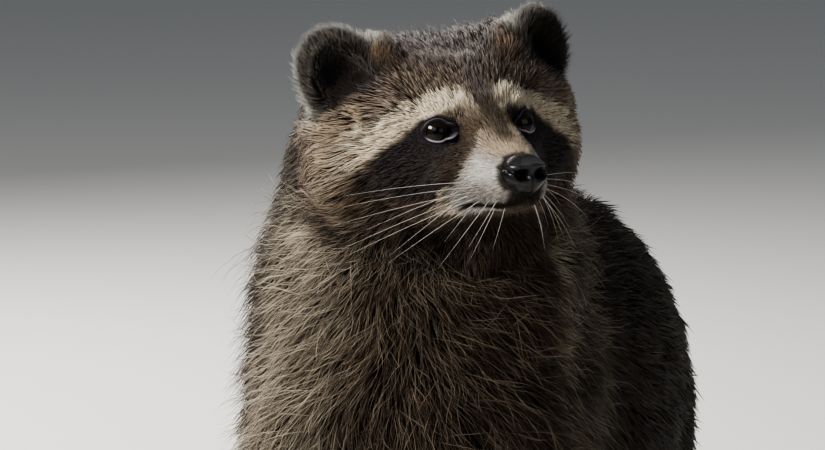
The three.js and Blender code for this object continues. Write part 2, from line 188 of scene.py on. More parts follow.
BODY_STROKES = [
    ((0, -96, 296), (0, -0.15, -1), 24, 24, 0.85),
    ((0, -112, 258), (0, -0.1, -1), 30, 26, 0.9),
    ((26, -106, 276), (0.85, 0, -0.5), 30, 26, 0.9),
    ((34, -104, 240), (0.7, 0, -0.75), 34, 26, 0.9),
    ((62, -84, 262), (0.9, 0.15, -0.4), 36, 26, 0.9),
    ((66, -80, 215), (0.7, 0.2, -0.7), 36, 26, 0.95),
    ((88, -40, 285), (0.65, 0.45, -0.55), 34, 32, 0.85),
    ((94, -30, 235), (0.5, 0.5, -0.7), 36, 32, 0.9),
    ((0, -116, 200), (0, 0, -1), 36, 24, 0.95),
    ((36, -110, 180), (0.4, 0.05, -0.9), 38, 24, 0.95),
    ((94, -10, 190), (0.2, 0.6, -0.8), 32, 20, 1.1),
    ((110, 80, 190), (0.08, 0.85, -0.5), 32, 18, 1.3),
    ((114, 160, 150), (0.05, 0.85, -0.5), 32, 18, 1.3),
    ((104, 230, 190), (0.05, 0.75, -0.65), 30, 18, 1.3),
    ((0, 110, 297), (0, 1, 0), 32, 20, 1.3),
    ((58, 110, 275), (0.35, 0.9, -0.25), 32, 20, 1.3),
    ((0, 20, 305), (0, 1, -0.1), 32, 24, 1.1),
    ((0, 28, 345), (0, 0.7, -0.7), 28, 26, 0.95),
    ((0, 290, 240), (0, 0.75, -0.65), 30, 20, 1.3),
    ((0, 316, 170), (0, 0.3, -0.95), 24, 18, 1.2),
    ((60, 300, 160), (0.3, 0.5, -0.8), 26, 18, 1.2),
    ((0, 110, 58), (0, 1, 0), 22, 15, 1.2),
    ((0, -60, 108), (0, 0.75, -0.65), 28, 18, 1.1),
    ((74, 110, 86), (0.25, 0.8, -0.55), 28, 18, 1.3),
    ((0, 250, 76), (0, 1, 0.1), 20, 15, 1.1),
    ((70, -25, 140), (0.1, 0.15, -1), 18, 16, 0.9),
    ((62, -24, 85), (0.02, 0.2, -1), 10, 13, 0.7),
    ((56, -38, 45), (0, 0.05, -1), 6, 11, 0.55),
    ((56, -56, 18), (0, -1, -0.25), 3.6, 9, 0.42),
    ((58, -84, 6), (0.05, -1, -0.1), 2.4, 8, 0.36),
    ((80, 205, 140), (0.05, 0.3, -0.95), 24, 17, 1.2),
    ((80, 200, 95), (0.02, 0.35, -0.95), 16, 15, 0.9),
    ((76, 224, 52), (0, 0.3, -1), 8, 12, 0.6),
    ((76, 215, 20), (0.02, -1, -0.15), 4.2, 9, 0.45),
    ((78, 172, 8), (0.05, -1, -0.1), 2.6, 8, 0.38),
]
TAIL_PATH = [
    (0, 292, 196), (-2, 338, 176), (-6, 380, 142), (-12, 414, 106),
    (-20, 448, 76), (-30, 488, 56), (-42, 530, 48), (-54, 566, 50),
]
tail_points = np.array(TAIL_PATH, float)
tail_steps = unit(np.gradient(tail_points, axis=0))
TAIL_HAIR = (34, 24, 1.2)
# The ears: each is a cup that leans back and out, with hair that runs from its root to its rim.
EAR_APART, EAR_HALF_WIDTH, EAR_HALF_HEIGHT, EAR_DEPTH = 117, 24, 31, 15
EAR_BACK, EAR_FACING = np.radians([8, 20])
# The height of each ear, the angle that it leans out, and its inner root: the left is pricked more.
EAR_POSES = {1: (34, math.radians(38), (31, -17, 42)), -1: (30, math.radians(28), (-42, -14, 42))}
EAR_HAIR = (6, 16, 0.42)
# The eyeballs: their middles in the head's frame, and the turn of their axes out and up.
EYE_X, EYE_FORWARD, EYE_Z, EYE_RADIUS = 24.6, 34.9, 0.1, 8.9
EYE_OUTWARD, EYE_UPWARD = np.radians([22, 5])
# Angles of the lids' edge off the axis of the eye: inner corner, top, outer corner, bottom.
LID_INNER, LID_TOP, LID_OUTER, LID_BOTTOM = 69, 46, 52, 32
LID_TILT = math.radians(2)
LID_REACH, CORNER_REACH = 9.25, 11.8


def ear_frame(side):
    """The middle of an ear and its turn, in the head's frame."""
    rise, lean, _ = EAR_POSES[side]
    turn = turn_about("z", side * EAR_FACING) @ turn_about("x", -EAR_BACK) @ turn_about("y", side * lean)
    return np.array([side * EAR_APART / 2, -1.0, rise]), turn


def to_ear(head_points, side):
    middle, turn = ear_frame(side)
    return (head_points - middle) @ turn


def ear_reach(ear_points):
    """How far points lie from the middle of an ear's cup: 1 at its rim."""
    return np.hypot(ear_points[:, 0] / EAR_HALF_WIDTH, ear_points[:, 2] / EAR_HALF_HEIGHT)


def eye_middle(side):
    return np.array([side * EYE_X, -EYE_FORWARD, EYE_Z])


stroke_rows = []
for strokes, place_of, turn_of in (
    (HEAD_STROKES, from_head, HEAD_TURN),
    (BODY_STROKES, np.asarray, np.eye(3)),
):
    for place, direction, length, lift, width in strokes:
        for side in (1, -1) if place[0] else (1,):
            at = place_of(np.array(place, float) * (side, 1, 1))
            way = unit(np.array(direction, float) * (side, 1, 1)) @ turn_of.T
            stroke_rows.append((*at, *way, length, lift, width))
for place, way in zip(tail_points, tail_steps):
    stroke_rows.append((*place, *way, *TAIL_HAIR))
stroke_table = np.array(stroke_rows)
STROKE_BLUR, STROKE_FALL = 7.0, 2.2
BATCH = 20000
# How far the hair close round an eye turns away from it, and how much shorter and finer it is.
EYE_TURN, EYE_SHORTER, EYE_FINER = 0.45, 0.62, 0.2


def eye_axes(side):
    """Forward, towards the nose, and up, for one eye, as rows in the head's frame."""
    forward = np.array([side * math.sin(EYE_OUTWARD), -math.cos(EYE_OUTWARD), math.tan(EYE_UPWARD)])
    forward = unit(forward)
    inward = unit(np.cross(forward, (0, 0, side)))
    return np.stack([forward, inward, np.cross(inward, forward) * side])


def lid_opening(turn):
    """The angle off the eye's axis of the lids' edge, all the way round."""
    across, up = np.cos(turn), np.sin(turn)
    wide = np.where(across > 0, LID_INNER, LID_OUTER)
    high = np.where(up > 0, LID_TOP, LID_BOTTOM)
    pointed = 2 - 0.8 * ramp(-0.1, 0.8, across)
    return np.radians((abs(across / wide) ** pointed + abs(up / high) ** pointed) ** (-1 / pointed))


def lid_reach(turn):
    """How far the lids' edge lies from the middle of the eye: on the globe, and past it inside."""
    past_globe = (CORNER_REACH - LID_REACH) * ramp(0.7, 0.98, np.cos(turn))
    return LID_REACH + past_globe + 0.5 * ramp(-0.9, -1, np.cos(turn))


def seen_from_eye(head_points, side):
    """Distance, angle off the axis and turn round the axis, from the middle of one eye."""
    out = head_points - eye_middle(side)
    seen = out @ eye_axes(side).T
    off = np.arctan2(np.hypot(seen[:, 1], seen[:, 2]), seen[:, 0])
    return np.linalg.norm(out, axis=1), off, np.arctan2(seen[:, 2], seen[:, 1]) + LID_TILT


def comb(points, normals):
    """Direction along the skin, length, standing angle and tuft width of the coat at each point."""
    found = np.empty((len(points), 6))
    for start in range(0, len(points), BATCH):
        part = slice(start, start + BATCH)
        away = ((points[part, None] - stroke_table[None, :, :3]) ** 2).sum(2)
        weight = 1 / (away + STROKE_BLUR**2) ** STROKE_FALL
        weight /= weight.sum(1, keepdims=True)
        found[part] = weight @ stroke_table[:, 3:]
    way, length, lift, width = found[:, :3], found[:, 3], found[:, 4], found[:, 5]
    head_points = to_head(points)
    for side in (1, -1):
        local = to_ear(head_points, side)
        reach = ear_reach(local)
        on_ear = ramp(1.4, 1.15, np.hypot(reach, local[:, 1] / EAR_DEPTH)) * ramp(-18, -6, local[:, 2])
        _, turn = ear_frame(side)
        upward = local * (1, 0.2, 1) - (0, 0, -EAR_HALF_HEIGHT)
        upward = unit(upward) @ turn.T @ HEAD_TURN.T
        way = way * (1 - on_ear)[:, None] + upward * on_ear[:, None]
        length = length + (EAR_HAIR[0] - length) * on_ear
        on_rim = ramp(0.8, 0.97, reach) * on_ear
        inside = ramp(2, -3, local[:, 1]) * ramp(0.3, 0.7, reach) * on_ear
        length = length + 3 * inside
        lift = lift + (EAR_HAIR[1] + 34 * np.maximum(on_rim, 0.5 * inside) - lift) * on_ear
        width = width + (EAR_HAIR[2] - width) * on_ear
        from_eye = head_points - eye_middle(side)
        close = ramp(19, 10.5, np.linalg.norm(from_eye, axis=1))
        away = unit(from_eye) @ HEAD_TURN.T
        way = way * (1 - EYE_TURN * close)[:, None] + away * (EYE_TURN * close)[:, None]
        length = length * (1 - EYE_SHORTER * close)
        width = width * (1 - EYE_FINER * close)
    way = way - normals * (way * normals).sum(1, keepdims=True)
    return unit(way), length, lift, width


SKIN_CLEAR, HAIR_SHARE = 0.4, 0.82
SHORT_HAIR, SHORT_DEPTH = 7.2, 2.0


def coat_depth(length, lift):
    """How far the skin lies inside the outer form, from the hair that stands on it."""
    deep = SKIN_CLEAR + length * np.sin(np.radians(lift)) * HAIR_SHARE
    return np.where(length < SHORT_HAIR, np.minimum(deep, SHORT_DEPTH), deep)


# The outer form of every fleshy part, closed up into one surface.
FLESH = [
    "head", "muzzle", "ear_left", "ear_right", "neck", "trunk",
    "foreleg_left", "foreleg_right", "forepaw_left", "forepaw_right",
    "hindleg_left", "hindleg_right", "hindpaw_left", "hindpaw_right",
    "tail_root", "tail_middle", "tail_tip",
]
JOIN = 0.3 * MM
HIDE_CELL = 3.2 * MM
form = bmesh.new()
for name in FLESH + ["eye_left", "eye_right", "nose"]:
    part = bmesh.new()
    part.from_mesh(nodes[name].data)
    bmesh.ops.remove_doubles(part, verts=part.verts, dist=1e-6)
    part.normal_update()
    for vertex in part.verts:
        vertex.co += vertex.normal * JOIN
    swollen = bpy.data.meshes.new("part")
    part.to_mesh(swollen)
    form.from_mesh(swollen)
    part.free()
hide_mesh = bpy.data.meshes.new("hide")
form.to_mesh(hide_mesh)
form.free()
hide = in_scene("hide", hide_mesh)
remesh = hide.modifiers.new("one skin", "REMESH")
remesh.mode = "VOXEL"
remesh.voxel_size = HIDE_CELL
whole = bpy.data.meshes.new_from_object(hide.evaluated_get(bpy.context.evaluated_depsgraph_get()))
hide.modifiers.clear()


def places(mesh):
    found = np.empty(len(mesh.vertices) * 3)
    mesh.vertices.foreach_get("co", found)
    return found.reshape(-1, 3)


def edges_of(mesh):
    found = np.empty(len(mesh.edges) * 2, np.int32)
    mesh.edges.foreach_get("vertices", found)
    return found.reshape(-1, 2)


def triangles_of(mesh):
    mesh.calc_loop_triangles()
    found = np.empty(len(mesh.loop_triangles) * 3, np.int32)
    mesh.loop_triangles.foreach_get("vertices", found)
    return found.reshape(-1, 3)


# Loose crumbs inside the form are dropped, and the face, ears and paws get a finer net.
net = bmesh.new()
net.from_mesh(whole)
group = np.arange(len(net.verts))
links = edges_of(whole)
while True:
    lower = group.copy()
    np.minimum.at(lower, links[:, 0], group[links[:, 1]])
    np.minimum.at(lower, links[:, 1], group[links[:, 0]])
    lower = lower[lower]
    if (lower == group).all():
        break
    group = lower
main = np.bincount(group).argmax()
net.verts.ensure_lookup_table()
bmesh.ops.delete(net, geom=[net.verts[i] for i in np.where(group != main)[0]], context="VERTS")


def refine(net, wanted):
    """Halves the net's edges where wanted says so of their middles."""
    net.edges.ensure_lookup_table()
    middles = np.array([(e.verts[0].co + e.verts[1].co) / 2 for e in net.edges])
    chosen = [net.edges[i] for i in np.where(wanted(to_animal(middles)))[0]]
    bmesh.ops.subdivide_edges(net, edges=chosen, cuts=1, use_grid_fill=True)


def on_face(points):
    local = to_head(points)
    return (local[:, 1] < -22) & (abs(local[:, 0]) < 52) & (local[:, 2] > -52) & (local[:, 2] < 30)


def near_eyes_or_lips(points):
    local = to_head(points)
    by_eye = np.linalg.norm(local * flips(local) - (26, -38, 0), axis=1) < 15
    lips = (local[:, 1] < -42) & (local[:, 2] < -27) & (local[:, 2] > -47)
    return by_eye | lips


def on_ears_or_paws(points):
    local = to_head(points)
    ears = np.zeros(len(points), bool)
    for side in (1, -1):
        ears |= np.linalg.norm(to_ear(local, side) / (1, 0.7, 1.2), axis=1) < 31
    return ears | (points[:, 2] < 22)


refine(net, on_face)
refine(net, near_eyes_or_lips)
refine(net, on_ears_or_paws)
net.to_mesh(hide_mesh)
net.free()
skin = to_animal(places(hide_mesh))
skin_edges = edges_of(hide_mesh)
skin_triangles = triangles_of(hide_mesh)
link_count = np.bincount(skin_edges.ravel(), minlength=len(skin)).clip(1)[:, None]


def sum_onto(index, values, size):
    return np.stack([np.bincount(index, values[:, k], size) for k in range(values.shape[1])], 1)


def relax(values, times, share):
    """Moves each value towards the mean of its neighbours."""
    first, second = skin_edges.T
    for _ in range(times):
        total = sum_onto(first, values[second], len(values))
        total += sum_onto(second, values[first], len(values))
        values = values + (total / link_count - values) * share
    return values


def face_normals(points):
    """The normal of each triangle of the hide, as long as twice its area."""
    a, b, c = (points[skin_triangles[:, k]] for k in range(3))
    return np.cross(b - a, c - a)


def skin_normals(points):
    face = face_normals(points)
    total = np.zeros_like(points)
    for k in range(3):
        total += sum_onto(skin_triangles[:, k], face, len(points))
    return unit(total)


# Joins between the parts are smoothed most on the body, and hardly at all on ears and toes.
JOIN_SMOOTHINGS = 40
local = to_head(skin)
on_ear = np.zeros(len(skin))
for side in (1, -1):
    on_ear = np.maximum(on_ear, ramp(40, 30, np.linalg.norm(to_ear(local, side), axis=1)))
from_head_middle = np.linalg.norm(local - (0, -5, -5), axis=1)
softness = 0.5 * ramp(60, 130, from_head_middle) + 0.14
softness += 0.36 * ramp(-22, -48, local[:, 2]) * ramp(-46, -24, local[:, 1]) * (1 - softness)
softness *= ramp(8, 70, skin[:, 2]) * 0.9 + 0.1
softness *= 1 - 0.75 * on_ear
skin = relax(skin, JOIN_SMOOTHINGS, softness[:, None])

normals = skin_normals(skin)
_, hair_length, hair_lift, _ = comb(skin, normals)
depth = coat_depth(hair_length, hair_lift)
depth += (1.0 - depth) * on_ear
depth = np.minimum(depth, 0.9 + 0.22 * np.maximum(skin[:, 2], 0))
INSET_STEPS = 8
for _ in range(INSET_STEPS):
    smooth_normals = unit(relax(skin_normals(skin), 6, 0.6))
    skin = skin - smooth_normals * (depth / INSET_STEPS)[:, None]
    skin = relax(skin, 1, (0.12 * (1 - on_ear))[:, None])

# The ears shrink as whole cups instead, so that their walls stay thick.
EAR_SHRINK = 0.075
local = to_head(skin)
for side in (1, -1):
    middle, turn = ear_frame(side)
    ear = to_ear(local, side)
    share = ramp(42, 30, np.linalg.norm(ear, axis=1)) * ramp(-30, -8, ear[:, 2])
    ear[:, [0, 2]] *= 1 - EAR_SHRINK * share[:, None]
    local = ear @ turn.T + middle
skin = from_head(local)

# The face, worked like clay in the head's frame: place, radius and how far it is pushed out.
FACE_CLAY = [
    ((22, -37, 13), 8, 1.6),
    ((0, -50, 7), 9, 1.6),
    ((9, -55, -3), 5, 0.8),
    ((28, -39, -12), 7, -0.6),
    ((21, -52, -16), 8, -1.4),
    ((12, -71, -30), 7, 1.2),
    ((0, -58, 0), 6, 0.6),
]
# Hollows beside the bridge that take the inner corners of the eyes: middle, reach and shift.
HOLLOW_AT, HOLLOW_REACH, HOLLOW_SHIFT = (19.5, -49, -2), (6.5, 8, 9), (-3.8, 6.6, 0)
LIP_LINE = [
    (0, -82, -35.2), (6.5, -78.5, -36.7), (11.5, -71, -37.8), (14.5, -60, -38.7), (17, -53, -39.2),
    (18.5, -48, -39.8),
]
LIP_DEPTH, LIP_HALF_WIDTH = 1.6, 0.8
NOSE_MIDDLE = np.array([0.0, -77.5, -22.3])
NOSE_RADII = np.array([12.0, 10.0, 10.5])
NOSE_BED_DEPTH = 7


def distance_to_line(points, line):
    """Distance of mirrored head points from a line drawn through a few places."""
    mirrored = points * flips(points)
    line = np.array(line, float)
    nearest = np.full(len(points), 1e9)
    share = np.zeros(len(points))
    for i, (start, end) in enumerate(zip(line[:-1], line[1:])):
        along = end - start
        t = np.clip((mirrored - start) @ along / (along @ along), 0, 1)
        away = np.linalg.norm(mirrored - start - t[:, None] * along, axis=1)
        closer = away < nearest
        nearest = np.where(closer, away, nearest)
        share = np.where(closer, (i + t) / (len(line) - 1), share)
    return nearest, share


local = to_head(skin)
to_left = flips(local)
mirrored = local * to_left
hollow = np.exp(-(((mirrored - HOLLOW_AT) / HOLLOW_REACH) ** 2).sum(1))[:, None]
mirrored = mirrored + hollow * HOLLOW_SHIFT
local = mirrored * to_left
skin = from_head(local)
push = np.zeros(len(skin))
for place, radius, amount in FACE_CLAY:
    push += amount * np.exp(-((mirrored - place) ** 2).sum(1) / (2 * (radius / 1.6) ** 2))
to_lip, along_lip = distance_to_line(local, LIP_LINE)
push -= LIP_DEPTH * np.exp(-((to_lip / LIP_HALF_WIDTH) ** 2)) * ramp(1, 0.75, along_lip)
in_nose = ramp(1.02, 0.75, np.linalg.norm((local - NOSE_MIDDLE) / NOSE_RADII, axis=1))
backward = HEAD_TURN @ np.array([0, 1.0, 0])
skin = skin + skin_normals(skin) * push[:, None] + backward * (NOSE_BED_DEPTH * in_nose)[:, None]

# The hide lies close under each eyeball and rises round it as the bed of the lids.
EYE_BED, LID_BED = 7.4, 8.2
local = to_head(skin)
for side in (1, -1):
    centre = eye_middle(side)
    away, off, turn = seen_from_eye(local, side)
    beyond = np.degrees(off - lid_opening(turn))
    bed = EYE_BED + (lid_reach(turn) - LID_BED) * ramp(-5, 6, beyond)
    pull = ramp(24, 2, beyond) * ramp(18, 14.5, away)
    local = centre + unit(local - centre) * (away + (bed - away) * pull)[:, None]
skin = from_head(local)
skin = relax(skin, 2, (0.25 * ramp(-20, -40, local[:, 1]))[:, None])
normals = skin_normals(skin)
hide_mesh.vertices.foreach_set("co", to_row(skin).ravel())
hide_mesh.update()
hide_mesh.shade_smooth()

# The markings, in the head's frame: black, cream, rust and silver, each from 0 to 1.
BROW = [
    (8.5, -47.5, 9.5), (8.5, -44.5, 14), (13, -41, 17), (22, -38, 16.5),
    (35, -35, 11.5), (47, -31, 5.5), (58, -28, -0.5), (70, -22, -8),
]
# The inner end of each brow, where its cream turns to tan, and the dark corner under it.
BROW_ROOT = [(8.5, -48.5, 8), (9, -44, 14)]
BROW_CORNER = [(9, -48.5, 6.5), (9, -51, 3.5), (9.5, -54, -1)]
BLAZE = [(0, -12, 46), (0, -30, 33), (0, -44, 16), (0, -53, 5), (0, -59, -3)]
MASK_OUT = [(29, -39, -4), (40, -36, -10), (51, -32, -17), (61, -27, -25)]
MASK_LOW = [(21, -48, -9), (31, -42, -19), (42, -36, -26)]
MASK_INNER = [(15, -54, -1), (18, -52, -8), (24, -49, -14), (30, -45, -20)]
MASK_TAIL = [(54, -30, -24), (66, -22, -31), (76, -12, -36)]
JAW = [(26, -38, -42), (40, -32, -44), (54, -24, -44), (66, -14, -40)]
MIDDLE_CHEEK = [(50, -24, 16), (66, -14, 6), (80, -6, -6)]
# How far forward the white of the muzzle and the lower lip begin, at heights or places along them.
MUZZLE_HEIGHTS = [-44, -38, -30, -27, -21, -14, -8, -3, 6]
MUZZLE_BEGINS = [-32, -38, -43, -49, -54, -58, -59.5, -58, -54]
LIP_PLACES = [-82, -70, -60, -53, -48]
LIP_HEIGHTS = [-35.2, -37.8, -38.7, -39.2, -39.8]
# The middle of the head, and how far round it the head's markings and the head's coats reach.
HEAD_MIDDLE, HEAD_MARKS_REACH, HEAD_COATS_REACH = (0, -12, -4), (96, 84, 66), (96, 82, 66)
# The tail: where its rings begin, their whole length, their number and how far the bush reaches.
TAIL_START, TAIL_LENGTH, TAIL_RINGS, TAIL_BUSH = 316, 250, 5.5, 60


def painted(points, line, half_widths, soft):
    """1 inside a brush stroke whose half width changes evenly along it, fading over soft."""
    away, share = distance_to_line(points, line)
    half = np.interp(share, np.linspace(0, 1, len(half_widths)), half_widths)
    return ramp(soft, -soft, away - half)


def waver(points, scale, seed):
    """A soft uneven value between -1 and 1 that varies over about scale millimetres."""
    total = np.zeros(len(points))
    source = np.random.default_rng(seed)
    for _ in range(7):
        total += np.sin(points @ source.normal(size=3) * 4 / scale + source.uniform(0, 2 * math.pi))
    return total / 3.2


def markings(points):
    """Black, cream, rust and silver, and how dark the ground coat is, at points of the animal."""
    unmoved = to_head(points)
    local = unmoved + np.stack([waver(points, 9, k) for k in (1, 2, 3)], 1) * 1.1
    x, y, z = abs(local[:, 0]), local[:, 1], local[:, 2]
    near_head = ramp(1.16, 1.02, np.linalg.norm((local - HEAD_MIDDLE) / HEAD_MARKS_REACH, axis=1))
    front = ramp(12, -6, y) * near_head
    black, cream, rust, silver = np.zeros((4, len(points)))
    dark = np.full(len(points), 0.45)

    def lay(on, to_black=0, to_cream=0, to_rust=0, to_silver=0):
        """Lays one mark over those beneath it."""
        for mark, value in ((black, to_black), (cream, to_cream), (rust, to_rust), (silver, to_silver)):
            mark += (value - mark) * on

    def stroke(line, half_widths, soft, strength=1, **values):
        """Lays one brush stroke of the head's markings."""
        lay(painted(local, line, half_widths, soft) * near_head * strength, **values)

    # body: dark over the back and towards the rear, partly the coat's own colour and partly painted shade;
    # paler and greyer on the flanks and chest sides, brown below
    bx, by, bz = abs(points[:, 0]), points[:, 1], points[:, 2]
    body = 1 - near_head
    dark[:] = 0.42 + body * (0.32 * ramp(170, 280, bz) * ramp(-20, 30, by) + 0.3 * ramp(0, 60, by))
    chest = body * ramp(22, -40, by - 0.25 * (bz - 170)) * ramp(120, 160, bz)
    twist = np.interp(bz, [120, 200, 290, 330], [4, 14, 22, 36])
    turned = np.degrees(np.arctan2(points[:, 0], -26 - by)) - twist
    on_left = ramp(-5, 5, turned)
    off_middle = abs(turned) * (1 + 0.28 * on_left)
    chest *= ramp(150, 95, off_middle)
    lay(chest * ramp(18, 46, off_middle) * 0.8, to_silver=0.46)
    pale_band = ramp(50, 62, off_middle) * ramp(82, 71, off_middle)
    lay(chest * pale_band * (0.6 + 0.25 * on_left), to_silver=0.7, to_cream=0.2)
    # Dark beyond the pale band at the chest's far sides: partly the flanks' darker coat, partly painted
    # shade.
    lay(chest * ramp(72, 88, off_middle) * 0.9, to_silver=0.12, to_black=0.7)
    ruff_below = ramp(262, 288, bz) * ramp(40, 58, off_middle) * ramp(110, 84, off_middle)
    lay(chest * ruff_below * 0.48, to_silver=0.65, to_cream=0.25)
    lay(chest * ramp(40, 18, off_middle) * 0.8, to_black=0.72, to_rust=0.2)
    lay(chest * ramp(272, 300, bz) * ramp(50, 26, off_middle) * 0.9, to_black=0.9)
    lay(body * ramp(120, 60, bz) * ramp(-70, -20, by) * 0.35, to_silver=0.5)
    legs = ramp(130, 80, bz) * ramp(40, 52, bx) * body
    dark += legs * 0.35
    lay(body * ramp(50, 24, bz) * 0.75, to_black=1)
    tail_away = ((points[:, None] - tail_points[None]) ** 2).sum(2)
    along_tail = np.clip((points[:, 1] - TAIL_START) / TAIL_LENGTH, 0, 1)
    ring = np.sin(along_tail * 2 * math.pi * TAIL_RINGS + 0.6)
    on_tail = ramp(318, 330, by) * (tail_away.min(1) < TAIL_BUSH**2)
    lay(on_tail * ramp(-0.15, 0.15, ring), to_rust=0.25, to_silver=0.7)
    lay(on_tail * np.maximum(ramp(0.1, -0.2, ring), ramp(0.88, 0.93, along_tail)), to_black=0.85)

    # head: pale ruff, then the mask with its borders, then the muzzle and the blaze
    dark += near_head * (0.14 * ramp(24, 44, z) + 0.3 * ramp(-20, -50, z) - 0.05)
    lay(near_head * ramp(24, 40, z) * 0.5, to_black=0.32, to_silver=0.12)
    lay(near_head * ramp(30, 42, z) * 0.7, to_black=0.72, to_silver=0.15)
    ruff = front * ramp(50, 72, x) * ramp(26, 6, z)
    low = ramp(-50, -10, z)
    lay(ruff * (0.22 + 0.42 * low), to_cream=0.1, to_silver=0.75)
    between = front * painted(local, MIDDLE_CHEEK, [8, 11, 12], 6)
    lay(between * 0.45, to_rust=0.35, to_silver=0.6)
    lay(front * painted(local, JAW, [7, 11, 12, 9], 6) * 0.8, to_black=0.5, to_rust=0.25)
    lay(front * ramp(-44, -52, z) * ramp(56, 30, x) * 0.95, to_black=0.85)
    stroke(MASK_TAIL, [9, 10, 8], 6, 0.75, to_black=0.5, to_rust=0.3)
    stroke(MASK_OUT, [9, 11.5, 11.5, 8], 3.5, to_black=0.93)
    stroke(MASK_LOW, [7, 10, 9], 3, to_black=0.9)
    stroke(MASK_INNER, [4, 6, 6, 4], 4, 0.5, to_black=0.35, to_silver=0.45)
    stroke(BROW, [2, 3.8, 5.4, 6, 6, 6.8, 8, 8], 2.2, ramp(84, 58, x), to_cream=1)
    stroke(BROW_ROOT, [3.5, 2.5], 3, 0.8, to_rust=0.75, to_cream=0.25)
    stroke(BROW_CORNER, [4.2, 4.8, 4.2], 3, 0.85, to_black=0.5, to_rust=0.2, to_silver=0.15)
    over_eye = np.where(z > 0.5, 1.25, 1.05)
    eye_ring = np.linalg.norm(np.stack([(x - 25) / 1.25, y + 39, (z - 0.5) * over_eye], 1), axis=1)
    lay(ramp(12, 9.5, eye_ring) * near_head, to_black=0.97)
    edge = np.interp(z, MUZZLE_HEIGHTS, MUZZLE_BEGINS)
    muzzle = ramp(1.6, -1.6, y - edge)
    lay(muzzle * near_head, to_cream=1)
    off_nose = np.linalg.norm((local - NOSE_MIDDLE) / NOSE_RADII, axis=1)
    lay(muzzle * ramp(-19, -9, z) * ramp(19, 11, x) * 0.92, to_rust=0.9, to_cream=0.15)
    lay(muzzle * ramp(-7, 4, z) * ramp(-70, -56, y) * 0.75, to_black=0.55, to_rust=0.4)
    lay(muzzle * ramp(3.5, -1, y - edge) * ramp(-6, -1, y - edge) * 0.6, to_rust=0.6, to_cream=0.3)
    stroke(BLAZE, [4, 5, 6, 6.4, 5.5], 2.6, 0.9, to_black=0.54, to_silver=0.34)
    rows = 0.5 + 0.5 * np.sin((z + 0.25 * y) * 1.75) * np.sin(y * 1.1 + 2 * np.floor((z + 0.25 * y) * 0.28))
    lay(muzzle * ramp(-20, -30, z) * ramp(-38.5, -35.5, z) * (0.25 + 0.5 * rows), to_silver=0.5, to_black=0.3)
    lay(muzzle * ramp(13, 8, x) * ramp(-29, -32, z) * ramp(-69, -75, y) * 0.85, to_black=0.75)
    to_lip, _ = distance_to_line(local, LIP_LINE)
    lay(ramp(1.26, 1.08, off_nose) * 0.85, to_black=0.8)
    under_lip = z - np.interp(y, LIP_PLACES, LIP_HEIGHTS)
    lay(ramp(3.8, 1.8, to_lip) * near_head * ramp(3.2, 1.6, under_lip), to_black=0.92)
    lay(ramp(-2.0, -2.8, under_lip) * muzzle * 0.9, to_rust=0.25, to_silver=0.1, to_black=0.4)
    lay(muzzle * ramp(-5, -7, under_lip), to_black=0.75, to_rust=0.2)

    # ears: black deep inside, silver towards the rim, rust at the inner root
    for side in (1, -1):
        ear = to_ear(unmoved, side)
        reach = ear_reach(ear)
        on = ramp(1.35, 1.15, np.hypot(reach, ear[:, 1] / EAR_DEPTH)) * ramp(-18, -6, ear[:, 2])
        lay(on, to_silver=0.38, to_black=0.38)
        inner = on * ramp(4, -1, ear[:, 1])
        hollow = np.hypot((side * ear[:, 0] - 3) / 13, (ear[:, 2] + 7) / 18)
        lay(inner, to_silver=0.25, to_black=0.5)
        lay(inner * ramp(1.3, 0.7, hollow), to_black=1)
        lay(on * ramp(0.9, 0.97, reach) * ramp(9, 4, abs(ear[:, 1])), to_cream=0.65, to_silver=0.3)
        root = np.array(EAR_POSES[side][2])
        at_root = np.linalg.norm(unmoved - root, axis=1)
        lay(ramp(9.5, 3, at_root) * 0.65, to_rust=0.75, to_silver=0.4)
        at_root = np.linalg.norm(unmoved - root - (side * -3.5, -3, -5.5), axis=1)
        lay(ramp(8, 3.5, at_root) * 0.75, to_black=0.6, to_rust=0.3)
        dark -= on * 0.2
    return np.stack([black, cream, rust, silver], 1).clip(0, 1), dark.clip(0, 1)


def give_values(mesh, name, values, kind="FLOAT_COLOR", field="color"):
    """A named colour or number on every vertex, for the materials to read."""
    layer = mesh.attributes.new(name, kind, "POINT")
    layer.data.foreach_set(field, np.ascontiguousarray(values, np.float32).ravel())


marks, ground = markings(skin + normals * depth[:, None] * 0.6)
give_values(hide_mesh, "marks", marks)
lie = np.stack([np.full(len(skin), 0.15), np.full(len(skin), 0.4), ground, np.ones(len(skin))], 1)
give_values(hide_mesh, "lie", lie)


def feed(made, values):
    """Sets inputs of a node, or links those whose value is the output of another node."""
    for socket, value in values.items():
        if isinstance(value, bpy.types.NodeSocket):
            made.id_data.links.new(value, made.inputs[socket])
        else:
            made.inputs[socket].default_value = value


def node(tree, kind, label, values=None, **settings):
    made = tree.nodes.new(kind)
    made.label = label
    for key, value in settings.items():
        setattr(made, key, value)
    feed(made, values or {})
    return made


def blend(tree, label, amount, low, high):
    """A mix of two colours. Amount, low and high are outputs or plain values."""
    return node(tree, "ShaderNodeMix", label, {0: amount, 6: low, 7: high}, data_type="RGBA").outputs[2]


def arithmetic(tree, label, operation, *values):
    return node(tree, "ShaderNodeMath", label, dict(enumerate(values)), operation=operation).outputs[0]


def noise(tree, label, scale, detail=2):
    return node(tree, "ShaderNodeTexNoise", label, {"Scale": scale, "Detail": detail}).outputs["Fac"]


def new_material(name):
    """A material, its node tree and its shader."""
    material = bpy.data.materials.new(name)
    material.use_nodes = True
    return material, material.node_tree, material.node_tree.nodes["Principled BSDF"]


def relief(tree, surface, label, height, strength, distance):
    """Gives a surface a fine relief, its distance in millimetres."""
    bump = node(tree, "ShaderNodeBump", label, {
        "Height": height, "Strength": strength, "Distance": distance * MM,
    })
    feed(surface, {"Normal": bump.outputs["Normal"]})


